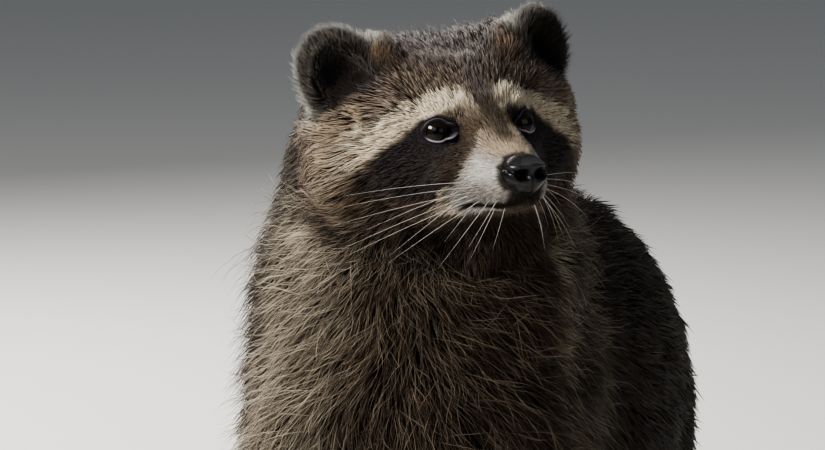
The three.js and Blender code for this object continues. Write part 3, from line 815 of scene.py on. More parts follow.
# The colour of one hair from root to tip: ground coat, then each marking, each with its own pair.
HAIR_SOCKETS = [
    ("Ground root", (0.020, 0.013, 0.009, 1)),
    ("Ground middle", (0.075, 0.051, 0.036, 1)),
    ("Ground tip", (0.36, 0.275, 0.20, 1)),
    ("Black root", (0.005, 0.004, 0.004, 1)),
    ("Black tip", (0.028, 0.019, 0.017, 1)),
    ("Cream root", (0.34, 0.25, 0.16, 1)),
    ("Cream tip", (0.93, 0.86, 0.72, 1)),
    ("Rust root", (0.12, 0.06, 0.03, 1)),
    ("Rust tip", (0.46, 0.29, 0.16, 1)),
    ("Silver root", (0.070, 0.050, 0.034, 1)),
    ("Silver tip", (0.66, 0.57, 0.44, 1)),
    ("Pale tips", 0.5),
]
hair_colour = bpy.data.node_groups.new("hair_colour", "ShaderNodeTree")
for name, value in HAIR_SOCKETS:
    kind = "NodeSocketFloat" if isinstance(value, float) else "NodeSocketColor"
    hair_colour.interface.new_socket(name, in_out="INPUT", socket_type=kind).default_value = value
for name, kind in (("Color", "Color"), ("Roughness", "Float"), ("Height", "Float")):
    hair_colour.interface.new_socket(name, in_out="OUTPUT", socket_type="NodeSocket" + kind)
tree = hair_colour
given = node(tree, "NodeGroupInput", "given").outputs
marks_node = node(tree, "ShaderNodeAttribute", "markings", attribute_name="marks")
lie_node = node(tree, "ShaderNodeAttribute", "place on the hair", attribute_name="lie")
split_marks = node(tree, "ShaderNodeSeparateColor", "markings apart", {0: marks_node.outputs["Color"]})
split_lie = node(tree, "ShaderNodeSeparateColor", "hair values apart", {0: lie_node.outputs["Color"]})
black_mark, cream_mark, rust_mark = split_marks.outputs
silver_mark = marks_node.outputs["Alpha"]
along, lot, darkness = split_lie.outputs
speck = noise(tree, "fine fibres", 900, 3)
tip_share = arithmetic(tree, "towards the tip", "SMOOTH_MIN", along, 1.0, 0.1)
tip_share = arithmetic(tree, "late", "POWER", tip_share, 1.6)
is_pale = arithmetic(tree, "is a pale hair", "LESS_THAN", lot, given["Pale tips"])
pale_share = arithmetic(tree, "pale tip", "MULTIPLY", is_pale, tip_share)
light_ground = arithmetic(tree, "light ground", "SUBTRACT", 1.35, darkness)
pale_share = arithmetic(tree, "less where dark", "MULTIPLY", pale_share, light_ground)
ground_colour = blend(tree, "root to middle", along, given["Ground root"], given["Ground middle"])
deeper = blend(tree, "dark ground", darkness, ground_colour, given["Ground root"])
colour = blend(tree, "grizzle", pale_share, deeper, given["Ground tip"])
mark_layers = (("Silver", silver_mark), ("Rust", rust_mark), ("Cream", cream_mark), ("Black", black_mark))
for name, mark in mark_layers:
    hair = blend(tree, name.lower(), tip_share, given[name + " root"], given[name + " tip"])
    colour = blend(tree, name.lower() + " mark", mark, colour, hair)
bright = arithmetic(tree, "lot to brightness", "MULTIPLY_ADD", lot, 0.55, 0.7)
fibre_light = arithmetic(tree, "fibre light", "MULTIPLY_ADD", speck, 0.5, 0.75)
bright = arithmetic(tree, "with fibres", "MULTIPLY", bright, fibre_light)
shaded = node(tree, "ShaderNodeVectorMath", "brightness", {0: colour, "Scale": bright}, operation="SCALE")
rough = arithmetic(tree, "roughness", "MULTIPLY_ADD", speck, 0.25, 0.42)
node(tree, "NodeGroupOutput", "hair", {"Color": shaded.outputs[0], "Roughness": rough, "Height": speck})


def coat_material(name, bump, changes):
    """A coat or bare skin that wears the hair colours, with its own changes to them."""
    material, tree, surface = new_material(name)
    hair = node(tree, "ShaderNodeGroup", "hair colour", changes, node_tree=hair_colour).outputs
    relief(tree, surface, "fibre relief", hair["Height"], bump, 0.2)
    feed(surface, {
        "Base Color": hair["Color"], "Roughness": hair["Roughness"], "Specular IOR Level": 0.2,
    })
    return material


hide_mesh.materials.append(coat_material("hide_under_the_coat", 0.8, {
    "Cream root": (0.24, 0.20, 0.15, 1), "Rust root": (0.09, 0.06, 0.04, 1),
}))
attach(hide, "root")
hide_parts(*FLESH)

# ==== Eyes =========================================================================================
# Two wet globes of very dark brown, set in sockets on the sides of the bridge. The iris hardly
# shows round the black pupil, and a clear cornea swells over both.
IRIS_RADIUS, CORNEA_SWELL = 5.2, 0.7
PUPIL_RADIUS = 2.6
EYE_RINGS, EYE_SIDES = 40, 48
eye_material, tree, surface = new_material("wet_eye")
from_pupil = node(tree, "ShaderNodeAttribute", "distance from the pupil", attribute_name="iris")


def past_ring(label, radius, before, after):
    """0 within a ring of the eye and 1 beyond it."""
    return node(tree, "ShaderNodeMapRange", label, {
        "Value": from_pupil.outputs["Fac"], "From Min": radius - before, "From Max": radius + after,
    }, interpolation_type="SMOOTHSTEP").outputs["Result"]


rays = noise(tree, "iris rays", 1500)
iris = blend(tree, "iris", rays, (0.004, 0.0027, 0.0017, 1), (0.015, 0.0095, 0.005, 1))
past_pupil = past_ring("pupil edge", PUPIL_RADIUS, 0.2, 0.3)
iris = blend(tree, "pupil", past_pupil, (0.001, 0.001, 0.001, 1), iris)
past_iris = past_ring("iris edge", IRIS_RADIUS, 0.3, 0.6)
feed(surface, {
    "Base Color": blend(tree, "white of the eye", past_iris, iris, (0.002, 0.0015, 0.0015, 1)),
    "Roughness": 0.1, "Specular IOR Level": 0.1, "Coat Weight": 0.2, "Coat Roughness": 0.03,
})


def grid_faces(rings, sides, flip):
    """Quads between closed rings of points, turned over where flip is -1."""
    ring, side = np.meshgrid(np.arange(rings - 1), np.arange(sides), indexing="ij")
    beside = (side + 1) % sides
    return np.stack([
        ring * sides + side, ring * sides + beside,
        (ring + 1) * sides + beside, (ring + 1) * sides + side,
    ], -1).reshape(-1, 4)[:, ::flip]


def closed_faces(rings, sides, flip, first=0):
    """The same from the point numbered first, with a cap on each end."""
    cap = first + np.arange(sides)
    return [*(grid_faces(rings, sides, flip) + first), cap[::-flip], cap[::flip] + (rings - 1) * sides]


def ball_angles(rings, sides, start):
    """Angles off the axis and round it for the points of a ball, ring by ring."""
    polar = np.linspace(start, math.pi - start, rings)
    turn = np.linspace(0, 2 * math.pi, sides, endpoint=False)
    return np.meshgrid(polar, turn, indexing="ij")


def eye_ray(side, off, turn):
    """Directions from the middle of an eye, by the angles off its axis and round it."""
    parts = (np.cos(off), np.sin(off) * np.cos(turn), np.sin(off) * np.sin(turn))
    return sum(part[..., None] * axis for part, axis in zip(parts, eye_axes(side)))


def solid_piece(name, points, faces, material):
    """A smooth mesh from millimetres in the animal's frame, riding on the one body."""
    mesh = bpy.data.meshes.new(name)
    mesh.from_pydata(to_row(points).tolist(), [], [list(map(int, face)) for face in faces])
    mesh.materials.append(material)
    mesh.shade_smooth()
    piece = in_scene(name, mesh)
    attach(piece, "root")
    return piece


polar, turn = ball_angles(EYE_RINGS, EYE_SIDES, 0.001)
off_axis = EYE_RADIUS * np.sin(polar)
in_front = np.cos(polar) > 0
swell = CORNEA_SWELL * ramp(IRIS_RADIUS + 1.4, 0, off_axis) * in_front
for name, side in (("left", 1), ("right", -1)):
    globe = (EYE_RADIUS + swell)[..., None] * eye_ray(side, polar, turn)
    points = from_head(eye_middle(side) + globe.reshape(-1, 3))
    eye = solid_piece("eye_globe_" + name, points, closed_faces(EYE_RINGS, EYE_SIDES, side), eye_material)
    give_values(eye.data, "iris", np.where(in_front, off_axis, EYE_RADIUS), "FLOAT", "value")
    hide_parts("eye_" + name)

# ==== Lids =========================================================================================
# Dark skin folded round each eye into an almond. The lower edge keeps a pale line, a painted highlight of its
# wet rim, which runs into the corner by the nose.
LID_POINTS, LID_THICKNESS = 96, 0.3
# Rings from the inside out: degrees past the edge, millimetres over the edge, share on the hide.
LID_RINGS = [
    (-9, -0.9, 0), (-2.4, -0.4, 0), (0, 0.02, 0), (1.2, 0.2, 0), (3, 0.32, 0.15),
    (6.5, 0.3, 0.6), (11, 0.15, 1), (17, -0.7, 1),
]
lid_material, tree, surface = new_material("lid_skin")
wet = node(tree, "ShaderNodeAttribute", "wet line", attribute_name="wet")
wrinkle = noise(tree, "skin wrinkles", 1400)
lid_dark = blend(tree, "lid skin", wrinkle, (0.005, 0.004, 0.0045, 1), (0.016, 0.012, 0.014, 1))
# The pale wet-edge colour: along the lower rim a painted highlight of the wet skin, in the corner by the nose
# the skin's own paler colour.
lid_colour = blend(tree, "wet edge", wet.outputs["Fac"], lid_dark, (0.34, 0.30, 0.35, 1))
feed(surface, {"Base Color": lid_colour, "Roughness": 0.4, "Specular IOR Level": 0.1})
relief(tree, surface, "wrinkle relief", wrinkle, 0.5, 0.15)
hide_form = BVHTree.FromPolygons(to_head(skin).tolist(), skin_triangles.tolist())


def reach_of_hide(centre, ways, otherwise):
    """How far the hide lies from the middle of an eye each way, or otherwise where it is missed."""
    hits = [hide_form.ray_cast(Vector(centre), Vector(way))[3] for way in ways]
    return np.array([hit or other for hit, other in zip(hits, otherwise)])


turn = np.linspace(0, 2 * math.pi, LID_POINTS, endpoint=False)
tilt = turn - LID_TILT
opening = lid_opening(turn)
for name, side in (("left", 1), ("right", -1)):
    centre = eye_middle(side)
    outside = eye_ray(side, opening + math.radians(5), tilt)
    on_hide = np.minimum(reach_of_hide(centre, outside, [LID_REACH] * LID_POINTS), CORNER_REACH + 2.5)
    for _ in range(6):
        on_hide = (np.roll(on_hide, 1) + 2 * on_hide + np.roll(on_hide, -1)) / 4
    edge_reach = np.maximum(lid_reach(turn), on_hide + 0.15)
    rings = []
    for beyond, over, share in LID_RINGS:
        way = eye_ray(side, opening + math.radians(beyond), tilt)
        reach = edge_reach + over
        if beyond < 0:
            reach = LID_REACH + over + (edge_reach - LID_REACH) * (0.35 if beyond > -5 else 0)
        if share:
            on_hide = reach_of_hide(centre, way, reach)
            reach = reach * (1 - share) + (on_hide + over) * share
        rings.append(reach[:, None] * way)
    points = from_head(centre + np.concatenate(rings))
    lids = solid_piece("lids_" + name, points, grid_faces(len(LID_RINGS), LID_POINTS, -side), lid_material)
    # How pale each ring is: a painted highlight along the lower rim, fading near the corner, with a little in
    # the corner by the nose and faintly along the top.
    lower = ramp(0.02, -0.35, np.sin(turn)) * ramp(-1.0, -0.75, np.cos(turn))
    corner = ramp(0.9, 0.98, np.cos(turn)) * ramp(0.3, 0.05, np.sin(turn))
    pale_rim_and_sheen = np.zeros((len(LID_RINGS), LID_POINTS))
    pale_rim_and_sheen[0:2] = corner * 0.1
    pale_rim_and_sheen[2:4] = np.maximum(lower * (1 - 0.5 * ramp(0.8, 0.97, np.cos(turn))), corner * 0.2)
    pale_rim_and_sheen[2] *= 0.8
    pale_rim_and_sheen[4] = corner * 0.1
    pale_rim_and_sheen[3] = np.maximum(pale_rim_and_sheen[3] * 0.6, 0.22 * ramp(0.2, 0.6, np.sin(turn)))
    give_values(lids.data, "wet", pale_rim_and_sheen, "FLOAT", "value")
    thick = lids.modifiers.new("thickness", "SOLIDIFY")
    thick.thickness = LID_THICKNESS * MM
    thick.offset = -1
    smooth = lids.modifiers.new("smooth", "SUBSURF")
    smooth.levels = smooth.render_levels = 1

# ==== Nose =========================================================================================
# A moist black pad of pebbled leather at the tip of the muzzle, with two comma nostrils that open
# to the sides and a groove down the middle.
NOSE_RINGS, NOSE_SIDES = 110, 150
# How full the pad is, where 1 is a plain ball, and how much narrower its foot is than its top.
PAD_FULLNESS, FOOT_NARROWING = 0.84, 0.24
BRIM_HEIGHT, WING_HEIGHT, SLIT_DEPTH, GROOVE_DEPTH, HOLE_DEPTH = 1.1, 1.0, 2.4, 0.8, 6.2
nose_material, tree, surface = new_material("nose_leather")
pebbles = node(tree, "ShaderNodeTexVoronoi", "pebbles", {"Scale": 1150}, feature="SMOOTH_F1")
pebbles = pebbles.outputs["Distance"]
fine = noise(tree, "fine grain", 2500)
grain = arithmetic(tree, "relief", "MULTIPLY_ADD", pebbles, -1.0, fine)
relief(tree, surface, "pebble relief", grain, 1.0, 0.7)
feed(surface, {
    "Base Color": blend(tree, "leather", pebbles, (0.005, 0.0048, 0.006, 1), (0.0012, 0.0012, 0.0016, 1)),
    "Roughness": arithmetic(tree, "moist", "MULTIPLY_ADD", fine, 0.16, 0.2),
    "Specular IOR Level": 0.2, "Coat Weight": 0.5, "Coat Roughness": 0.26,
})
polar, turn = ball_angles(NOSE_RINGS, NOSE_SIDES, 0.002)
ball = np.stack([np.sin(polar) * np.cos(turn), -np.cos(polar), np.sin(polar) * np.sin(turn)], -1)
ball = ball.reshape(-1, 3)
pad = np.sign(ball) * abs(ball) ** PAD_FULLNESS * NOSE_RADII
height = pad[:, 2].copy()
pad[:, 0] *= 1 - FOOT_NARROWING * ramp(1, -9, height)
pad[:, 1] += 1.6 * ramp(3, 10, height)
side_x = abs(pad[:, 0])
in_front = pad[:, 1] < 0


def dab(x, z, x_reach, z_reach, power=1):
    """A soft spot on both sides of the pad."""
    return np.exp(-(((side_x - x) / x_reach) ** 2 + ((height - z) / z_reach) ** 2) ** power)


hole = dab(5.2, 0.2, 3.2, 2.4, 1.3) * in_front
wing = dab(9.2, -1.8, 2.6, 2.4)
brim = dab(5.4, 4.4, 4.4, 1.9) * in_front
slit_line = 0.8 + 0.45 * np.maximum(side_x - 6, 0)
slit = np.exp(-(((height - slit_line) / 0.85) ** 2)) * in_front
slit *= ramp(5.5, 7.5, side_x) * ramp(13.5, 11.5, side_x)
groove = np.exp(-((pad[:, 0] / 0.6) ** 2)) * ramp(3, -1, height) * in_front
raised = BRIM_HEIGHT * brim + WING_HEIGHT * wing - SLIT_DEPTH * slit - GROOVE_DEPTH * groove
pad += unit(ball / NOSE_RADII) * raised[:, None]
pad[:, 1] += HOLE_DEPTH * hole
faces = closed_faces(NOSE_RINGS, NOSE_SIDES, -1)
nose = solid_piece("nose_pad", from_head(NOSE_MIDDLE + pad), faces, nose_material)
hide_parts("nose")

# ==== Muzzle coat ==================================================================================
# Very short, dense hair that lies back from the nose over the bridge, lips and chin. It grows in
# small overlapping tufts; here each tuft is one thin closed spike of solid mesh.
corners = skin_triangles
centroid = skin[corners].mean(1)
face_normal = face_normals(skin)
area = np.linalg.norm(face_normal, axis=1) / 2
face_normal = unit(face_normal)
_, skin_length, _, skin_width = comb(skin, normals)
density = 1 / (0.5 * skin_length * skin_width)[corners].mean(1)
head_centroid = to_head(centroid)
free = np.ones(len(corners), bool)
# How tall a tuft is for its half width, how much of its unwrapped coat it covers, and how far along
# it its markings are read.
TUFT_TALLNESS, TUFT_PATCH, MARKS_ALONG = 0.7, 0.003, 0.55


def tree_of(points, numbers):
    """For finding the nearest of the points that have these numbers."""
    found = KDTree(len(numbers))
    for number in numbers:
        found.insert(points[number], number)
    found.balance()
    return found


def nearest(tree, points):
    return np.fromiter((tree.find(point)[1] for point in points), np.int64, len(points))


skin_tree = tree_of(skin, range(len(skin)))


def nearest_skin(points):
    """The skin's point and normal nearest to each point."""
    found = nearest(skin_tree, points)
    return skin[found], normals[found]


def bare_places(points):
    """Where no hair has its root: inside the lids, on the nose and in the line of the lips."""
    local = to_head(points)
    bare = np.zeros(len(points), bool)
    for side in (1, -1):
        away, off, turn = seen_from_eye(local, side)
        bare |= (np.degrees(off - lid_opening(turn)) < 6.5) & (away < 15)
    bare |= np.linalg.norm((local - NOSE_MIDDLE) / (NOSE_RADII + 0.5), axis=1) < 1
    bare |= distance_to_line(local, LIP_LINE[:-1])[0] < 0.5
    return bare


def tuft_mesh(name, spine, half, up, lie, marks, patch, material):
    """Closed three-sided tapering tufts along the given spines, as one mesh."""
    count, points_each = spine.shape[:2]
    rings = points_each - 1
    heading = unit(np.gradient(spine, axis=1))
    across = unit(np.cross(up[:, None], heading))
    over = np.cross(heading, across)
    wide = across[:, :-1] * half[..., None]
    tall = over[:, :-1] * half[..., None] * TUFT_TALLNESS
    body = spine[:, :-1]
    ring_points = np.stack([body - wide, body + wide, body + tall], 2).reshape(count, rings * 3, 3)
    points = np.concatenate([ring_points, spine[:, -1:]], 1)
    faces = [(0, 2, 1)]
    for k in range(rings - 1):
        for j in range(3):
            beside = (j + 1) % 3
            faces.append((3 * k + j, 3 * k + beside, 3 * k + 3 + beside, 3 * k + 3 + j))
    last = 3 * (rings - 1)
    faces += [(last + j, last + (j + 1) % 3, 3 * rings) for j in range(3)]
    sizes = np.tile([len(face) for face in faces], count)
    stride = 3 * rings + 1
    loops = np.array([corner for face in faces for corner in face])
    loops = (loops[None] + np.arange(count)[:, None] * stride).ravel()
    mesh = bpy.data.meshes.new(name)
    mesh.vertices.add(count * stride)
    mesh.vertices.foreach_set("co", to_row(points).astype(np.float32).ravel())
    mesh.loops.add(len(loops))
    mesh.loops.foreach_set("vertex_index", loops.astype(np.int32))
    mesh.polygons.add(len(sizes))
    mesh.polygons.foreach_set("loop_start", np.concatenate([[0], np.cumsum(sizes)[:-1]]).astype(np.int32))
    mesh.update(calc_edges=True)
    each_ring = np.repeat(np.arange(rings), 3)
    along_each = np.concatenate([each_ring / rings, [1.0]])
    values = np.empty((count, stride, 4))
    values[..., 0] = along_each
    values[..., 1:3] = lie[:, None]
    values[..., 3] = 1
    give_values(mesh, "lie", values)
    give_values(mesh, "marks", np.repeat(marks[:, None], stride, axis=1))
    flat = np.empty((count, stride, 2))
    sideways = np.concatenate([np.tile([0.0, 1.0, 0.5], rings), [0.5]])
    flat[..., 0] = patch[:, None, 0] + (sideways - 0.5) * TUFT_PATCH
    flat[..., 1] = patch[:, None, 1] + (along_each - 0.5) * TUFT_PATCH
    layer = mesh.uv_layers.new(name="OFBake")
    layer.data.foreach_set("uv", flat.reshape(-1, 2)[loops].astype(np.float32).ravel())
    mesh.materials.append(material)
    mesh.shade_smooth()
    piece = in_scene(name, mesh)
    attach(piece, "root")
    return piece


def grow(name, where, cover, rings, seed, material, slot, unwrap, clump=4, pull=0.35, wild=7, sway=10,
         sway_scale=9, thick=1.0, long=1.0, wave=0.0, stand=1.0, keep_free=False):
    """Tufts over the free part of the skin where asked, in cover overlapping layers."""
    source = np.random.default_rng(seed)
    chosen = np.where(free & where)[0]
    free[chosen] = keep_free
    weight = area[chosen] * density[chosen] * cover / thick / long
    total = np.cumsum(weight)
    count = int(total[-1])
    picked = np.searchsorted(total, (np.arange(count) + source.random(count)) / count * total[-1])
    picked = chosen[np.minimum(picked, len(chosen) - 1)]
    share = source.random((count, 2))
    share = np.where(share.sum(1, keepdims=True) > 1, 1 - share, share)
    a, b, c = (skin[corners[picked, k]] for k in range(3))
    root = a + (b - a) * share[:, :1] + (c - a) * share[:, 1:]
    kept = ~bare_places(root)
    root, picked = root[kept], picked[kept]
    count = len(root)
    weights = np.stack([1 - share[kept].sum(1), share[kept, 0], share[kept, 1]], 1)[..., None]
    normal = unit((normals[corners[picked]] * weights).sum(1))
    way, length, lift, width = comb(root, normal)
    turn = np.radians(sway * waver(root, sway_scale, seed + 1) + wild * source.normal(size=count))
    side = np.cross(normal, way)
    way = way * np.cos(turn)[:, None] + side * np.sin(turn)[:, None]
    grown = length * long * (1 + 0.16 * waver(root, sway_scale, seed + 2)) * source.uniform(0.68, 1.14, count)
    angle = np.radians(lift * stand * source.uniform(0.5, 1.25, count))
    steps = np.linspace(0, 1, rings + 1)
    flat_reach = grown * np.cos(angle)
    height = grown * np.sin(angle)
    spine = root[:, None] + way[:, None] * (flat_reach[:, None] * steps)[..., None]
    shift = np.zeros((count, 3, 3))
    for index, step in ((1, 0.5), (2, 1.0)):
        ahead = root + way * (flat_reach * step)[:, None]
        under, up = nearest_skin(ahead)
        gap = ((ahead - under) * up).sum(1)
        short = height * step * (1.5 - 0.5 * step) - gap
        short = np.where(short < 0, short * 0.6, short)
        shift[:, index] = up * short[:, None]
    middle_share = 4 * steps * (1 - steps)
    end_share = steps * (2 * steps - 1)
    spine = spine + shift[:, None, 1] * middle_share[:, None] + shift[:, None, 2] * end_share[:, None]
    leaders = source.choice(count, max(2, count // clump), replace=False)
    leader = nearest(tree_of(root, leaders), root)
    pulling = pull * source.uniform(0.4, 1.1, count)
    spine += (spine[leader] - spine) * (pulling[:, None] * steps[None] ** 1.3)[..., None]
    phase = source.uniform(0, 2 * math.pi, count)[leader, None]
    curl = wave * np.sin(phase + grown[:, None] * steps / 3.2) * steps
    spine += (side * np.cos(turn)[:, None] - way * np.sin(turn)[:, None])[:, None] * curl[..., None]
    half = width * thick * source.uniform(0.75, 1.2, count) / 2
    taper = np.interp(steps[:-1], [0, 0.35, 0.7, 1], [0.8, 1, 0.72, 0.3])
    up = unit(normal + np.cross(normal, way) * source.normal(0, 0.45, count)[:, None])
    marks, ground = markings(root + (spine[:, -1] - root) * MARKS_ALONG)
    lot = (source.random(count) * 0.65 + source.random(count)[leader] * 0.35).clip(0, 1)
    flat = unwrap(root, normal)
    low, high = flat.min(0), flat.max(0)
    patch = 0.01 + 0.98 * (flat - low) / (high - low)
    lie = np.stack([lot, ground], 1)
    piece = tuft_mesh(name, spine, half[:, None] * taper, up, lie, marks, patch, material)


def grow_pair(name, where, across, cover, rings, seed, *others, **manner):
    """The same hair on the left and on the right, as a piece each."""
    grow(name + "_left", where & (across > 0), cover, rings, seed, *others, **manner)
    grow(name + "_right", where & (across <= 0), cover, rings, seed + 10, *others, **manner)


def fan_out(points, middle, ahead, right, up):
    """Opened out round one direction of the head, as if peeled back from there."""
    heading = unit(to_head(points) - middle)
    angle = np.arccos((heading @ ahead).clip(-1, 1))
    around = np.arctan2(heading @ up, heading @ right)
    return np.stack([angle * np.cos(around), angle * np.sin(around)], 1)


def unwrap_muzzle(points, normals):
    return fan_out(points, (0, -50, -24), (0, -1, 0), (1, 0, 0), (0, 0, 1))


hx, hy, hz = abs(head_centroid[:, 0]), head_centroid[:, 1], head_centroid[:, 2]
in_head = np.linalg.norm((head_centroid - HEAD_MIDDLE) / HEAD_COATS_REACH, axis=1) < 1
in_head &= ~((hy > -20) & (hz < -50 + 0.35 * (hy + 20))) & (hy < 52)
on_ears = np.zeros(len(centroid), bool)
for side in (1, -1):
    local = to_ear(head_centroid, side)
    on_ears |= (ear_reach(local) < 1.12) & (abs(local[:, 1]) < 22) & (local[:, 2] > -15)
muzzle_coat_look = coat_material("muzzle_coat", 0.5, {
    "Cream root": (0.50, 0.475, 0.43, 1), "Cream tip": (0.99, 0.985, 0.96, 1),
    "Rust root": (0.20, 0.14, 0.07, 1), "Rust tip": (0.82, 0.60, 0.37, 1),
})
grow(
    "muzzle_coat", in_head & (hy < -46) & (hx < 38), 3.0, 1, 11, muzzle_coat_look, "muzzle_coat",
    unwrap_muzzle, clump=3, pull=0.2, wild=9, sway=8, sway_scale=7,
)

# ==== Ear coat =====================================================================================
# Short plush on the backs and rims of the ears, pale and felted at the rim, thin and dark inside.
# Longer hairs stand up from the rim as a fringe.
def unwrap_ears(points, normals):
    """Each face of each ear laid flat, side by side."""
    head_points = to_head(points)
    flat = np.zeros((len(points), 2))
    for side in (1, -1):
        on_side = np.sign(head_points[:, 0]) == side
        local = to_ear(head_points[on_side], side)
        inside = (normals[on_side] @ HEAD_TURN)[:, 1] < 0
        flat[on_side, 0] = local[:, 0] + 60 * inside + 60 * side
        flat[on_side, 1] = local[:, 2]
    return flat


ear_coat_look = coat_material("ear_coat", 0.5, {
    "Pale tips": 0.4, "Ground middle": (0.058, 0.052, 0.044, 1), "Ground tip": (0.22, 0.20, 0.17, 1),
    "Silver root": (0.040, 0.037, 0.030, 1), "Silver tip": (0.27, 0.27, 0.235, 1),
    "Cream root": (0.17, 0.16, 0.14, 1), "Cream tip": (0.58, 0.59, 0.52, 1),
})
on_rim = np.zeros(len(centroid), bool)
for side in (1, -1):
    local = to_ear(head_centroid, side)
    reach = ear_reach(local)
    on_rim |= on_ears & (reach > 0.84) & (reach < 1.1) & (abs(local[:, 1]) < 9) & (local[:, 2] > -6)
grow(
    "ear_fringe", on_rim, 0.8, 2, 23, ear_coat_look, "ear_coat", unwrap_ears,
    clump=2, pull=0.2, wild=22, sway=12, sway_scale=8, thick=0.75, long=1.1, stand=1.25, keep_free=True,
)
grow(
    "ear_coat", on_ears, 2.6, 1, 21, ear_coat_look, "ear_coat", unwrap_ears,
    clump=3, pull=0.2, wild=12, sway=10, sway_scale=8,
)

# ==== Face coat ====================================================================================
# Hair of the forehead, brows and mask: short, glossy and combed up and outwards, so that the
# borders of the mask break into fine points.
def unwrap_face(points, normals):
    return fan_out(points, (0, 0, -6), (0, -1, 0), (1, 0, 0), (0, 0, 1))


face_coat_look = coat_material("face_coat", 0.5, {
    "Silver root": (0.070, 0.055, 0.055, 1), "Silver tip": (0.60, 0.535, 0.515, 1),
    "Pale tips": 0.45, "Black tip": (0.046, 0.036, 0.040, 1), "Ground middle": (0.088, 0.064, 0.050, 1),
    "Ground tip": (0.38, 0.30, 0.235, 1),
})
grow_pair(
    "face_coat", in_head & (hy < -8) & (hx < 52) & (hz > -40), head_centroid[:, 0], 3.6, 2, 31,
    face_coat_look, "face_coat", unwrap_face, sway=11,
)

# ==== Cheek coat ===================================================================================
# The ruff: longer, paler hair that sweeps back from the mask over the jaw and widens the face. Its
# tufts lean on one another in pointed locks.
cheek_coat_look = coat_material("cheek_coat", 0.5, {"Pale tips": 0.6})
on_cheeks = in_head & (hy < 30) & ((hx >= 44) | (hz < -20)) & (hz < 24)
grow_pair(
    "cheek_coat", on_cheeks, head_centroid[:, 0], 4.2, 2, 51, cheek_coat_look, "face_coat", unwrap_face,
    clump=6, pull=0.5, sway=12, sway_scale=14,
)

# ==== Crown coat ===================================================================================
# Dark hair with silver tips on the top and back of the head. It stands up between the ears, with
# finer wisps over it.
def unwrap_crown(points, normals):
    return fan_out(points, (0, 0, -6), (0, 0.6, 0.8), (0, 0.8, -0.6), (1, 0, 0))


crown_coat_look = coat_material("crown_coat", 0.5, {
    "Pale tips": 0.26, "Ground middle": (0.046, 0.037, 0.037, 1), "Ground tip": (0.24, 0.21, 0.205, 1),
})
grow(
    "crown_wisps", in_head & (hz > 30) & (hx < 50), 0.4, 2, 75, crown_coat_look, "face_coat", unwrap_crown,
    clump=2, pull=0.2, wild=16, sway=12, sway_scale=11, thick=0.6, long=1.15, stand=1.3, keep_free=True,
)
grow(
    "crown_coat", in_head, 3.4, 2, 71, crown_coat_look, "face_coat", unwrap_crown,
    wild=10, sway=12, sway_scale=11,
)

# ==== Throat and chest coat ========================================================================
# Long soft hair under the chin and over the chest, dark in the middle and buff at the sides. It
# parts into wavy locks with silver tips.
def unwrap_neck(points, normals):
    """Unrolled round the upright middle of the neck."""
    return np.stack([np.arctan2(points[:, 0], 30 - points[:, 1]), points[:, 2] / 90], 1)


cx, cy, cz = centroid.T
in_front = (cy < 0.45 * (cz - 200) - 12) & (cz > 150)
chest_coat_look = coat_material("chest_coat", 0.5, {
    "Pale tips": 0.28, "Ground middle": (0.042, 0.032, 0.023, 1), "Ground tip": (0.28, 0.22, 0.155, 1),
    "Silver root": (0.055, 0.040, 0.028, 1), "Silver tip": (0.54, 0.465, 0.36, 1),
})
wisp_look = coat_material("chest_wisps", 0.45, {
    "Pale tips": 0.75, "Ground middle": (0.10, 0.080, 0.058, 1), "Ground tip": (0.50, 0.42, 0.31, 1),
    "Silver tip": (0.78, 0.70, 0.57, 1), "Black tip": (0.12, 0.095, 0.065, 1),
})
grow(
    "chest_wisps", in_front & (cz < 305), 0.55, 4, 85, wisp_look, "body_coat", unwrap_neck,
    clump=2, pull=0.35, wild=24, sway=34, sway_scale=18, thick=0.38, long=1.2, wave=1.8, stand=1.3,
    keep_free=True,
)
grow_pair(
    "chest_coat", in_front, cx, 4.1, 3, 81, chest_coat_look, "body_coat", unwrap_neck,
    clump=7, pull=0.55, wild=11, sway=24, sway_scale=24, thick=0.82, wave=0.5,
)

# ==== Nape and back coat ===========================================================================
# Thick grizzled hair from the nape over the shoulders and along the back and flanks, combed
# towards the tail in coarse locks.
def unwrap_trunk(points, normals):
    """Unrolled round the length of the body."""
    return np.stack([np.arctan2(points[:, 0], points[:, 2] - 165), points[:, 1] / 110], 1)


in_tail = cy > 322
under = (face_normal[:, 2] < -0.45) & (cz < 120) & (cz > 45) & (abs(cx) < 95)
# Its dark ground and few pale tips are partly the back's own colour and partly painted shade.
body_coat_look = coat_material("body_coat", 0.6, {
    "Pale tips": 0.22, "Ground middle": (0.045, 0.033, 0.025, 1), "Ground tip": (0.24, 0.19, 0.145, 1),
})
grow(
    "nape_coat", (cz > 225) & (cy < 62), 3.0, 2, 101, body_coat_look, "body_coat", unwrap_neck,
    clump=6, pull=0.55, wild=9, sway=16, sway_scale=24,
)
grow_pair(
    "flank_coat", ~in_tail & ~under & (cz > 118), cx, 2.85, 2, 111, body_coat_look, "body_coat",
    unwrap_trunk, clump=7, pull=0.6, wild=9, sway=16, sway_scale=30,
)

# ==== Belly coat ===================================================================================
# Thinner, paler wool under the trunk. It fills what the flanks and the chest leave free between
# the legs.
grow(
    "belly_coat", ~in_tail & (cz > 50) & ((abs(cx) < 40) | (cz > 100)) & (cz < 130), 1.8, 2, 131,
    body_coat_look, "body_coat", unwrap_trunk, clump=7, pull=0.6, wild=10, sway=14, sway_scale=30, thick=1.3,
)

# ==== Leg coats ====================================================================================
# Short hair that runs down the legs, closest at the wrists and hocks. Each pair of legs is one
# piece.
def unwrap_legs(points, normals):
    """Each leg unrolled round its own height, the four of them in a row."""
    fore = points[:, 1] < 100
    right = points[:, 0] < 0
    around = np.arctan2(normals[:, 0], normals[:, 1])
    return np.stack([around + 7 * (2 * right + fore), points[:, 2] / 60], 1)


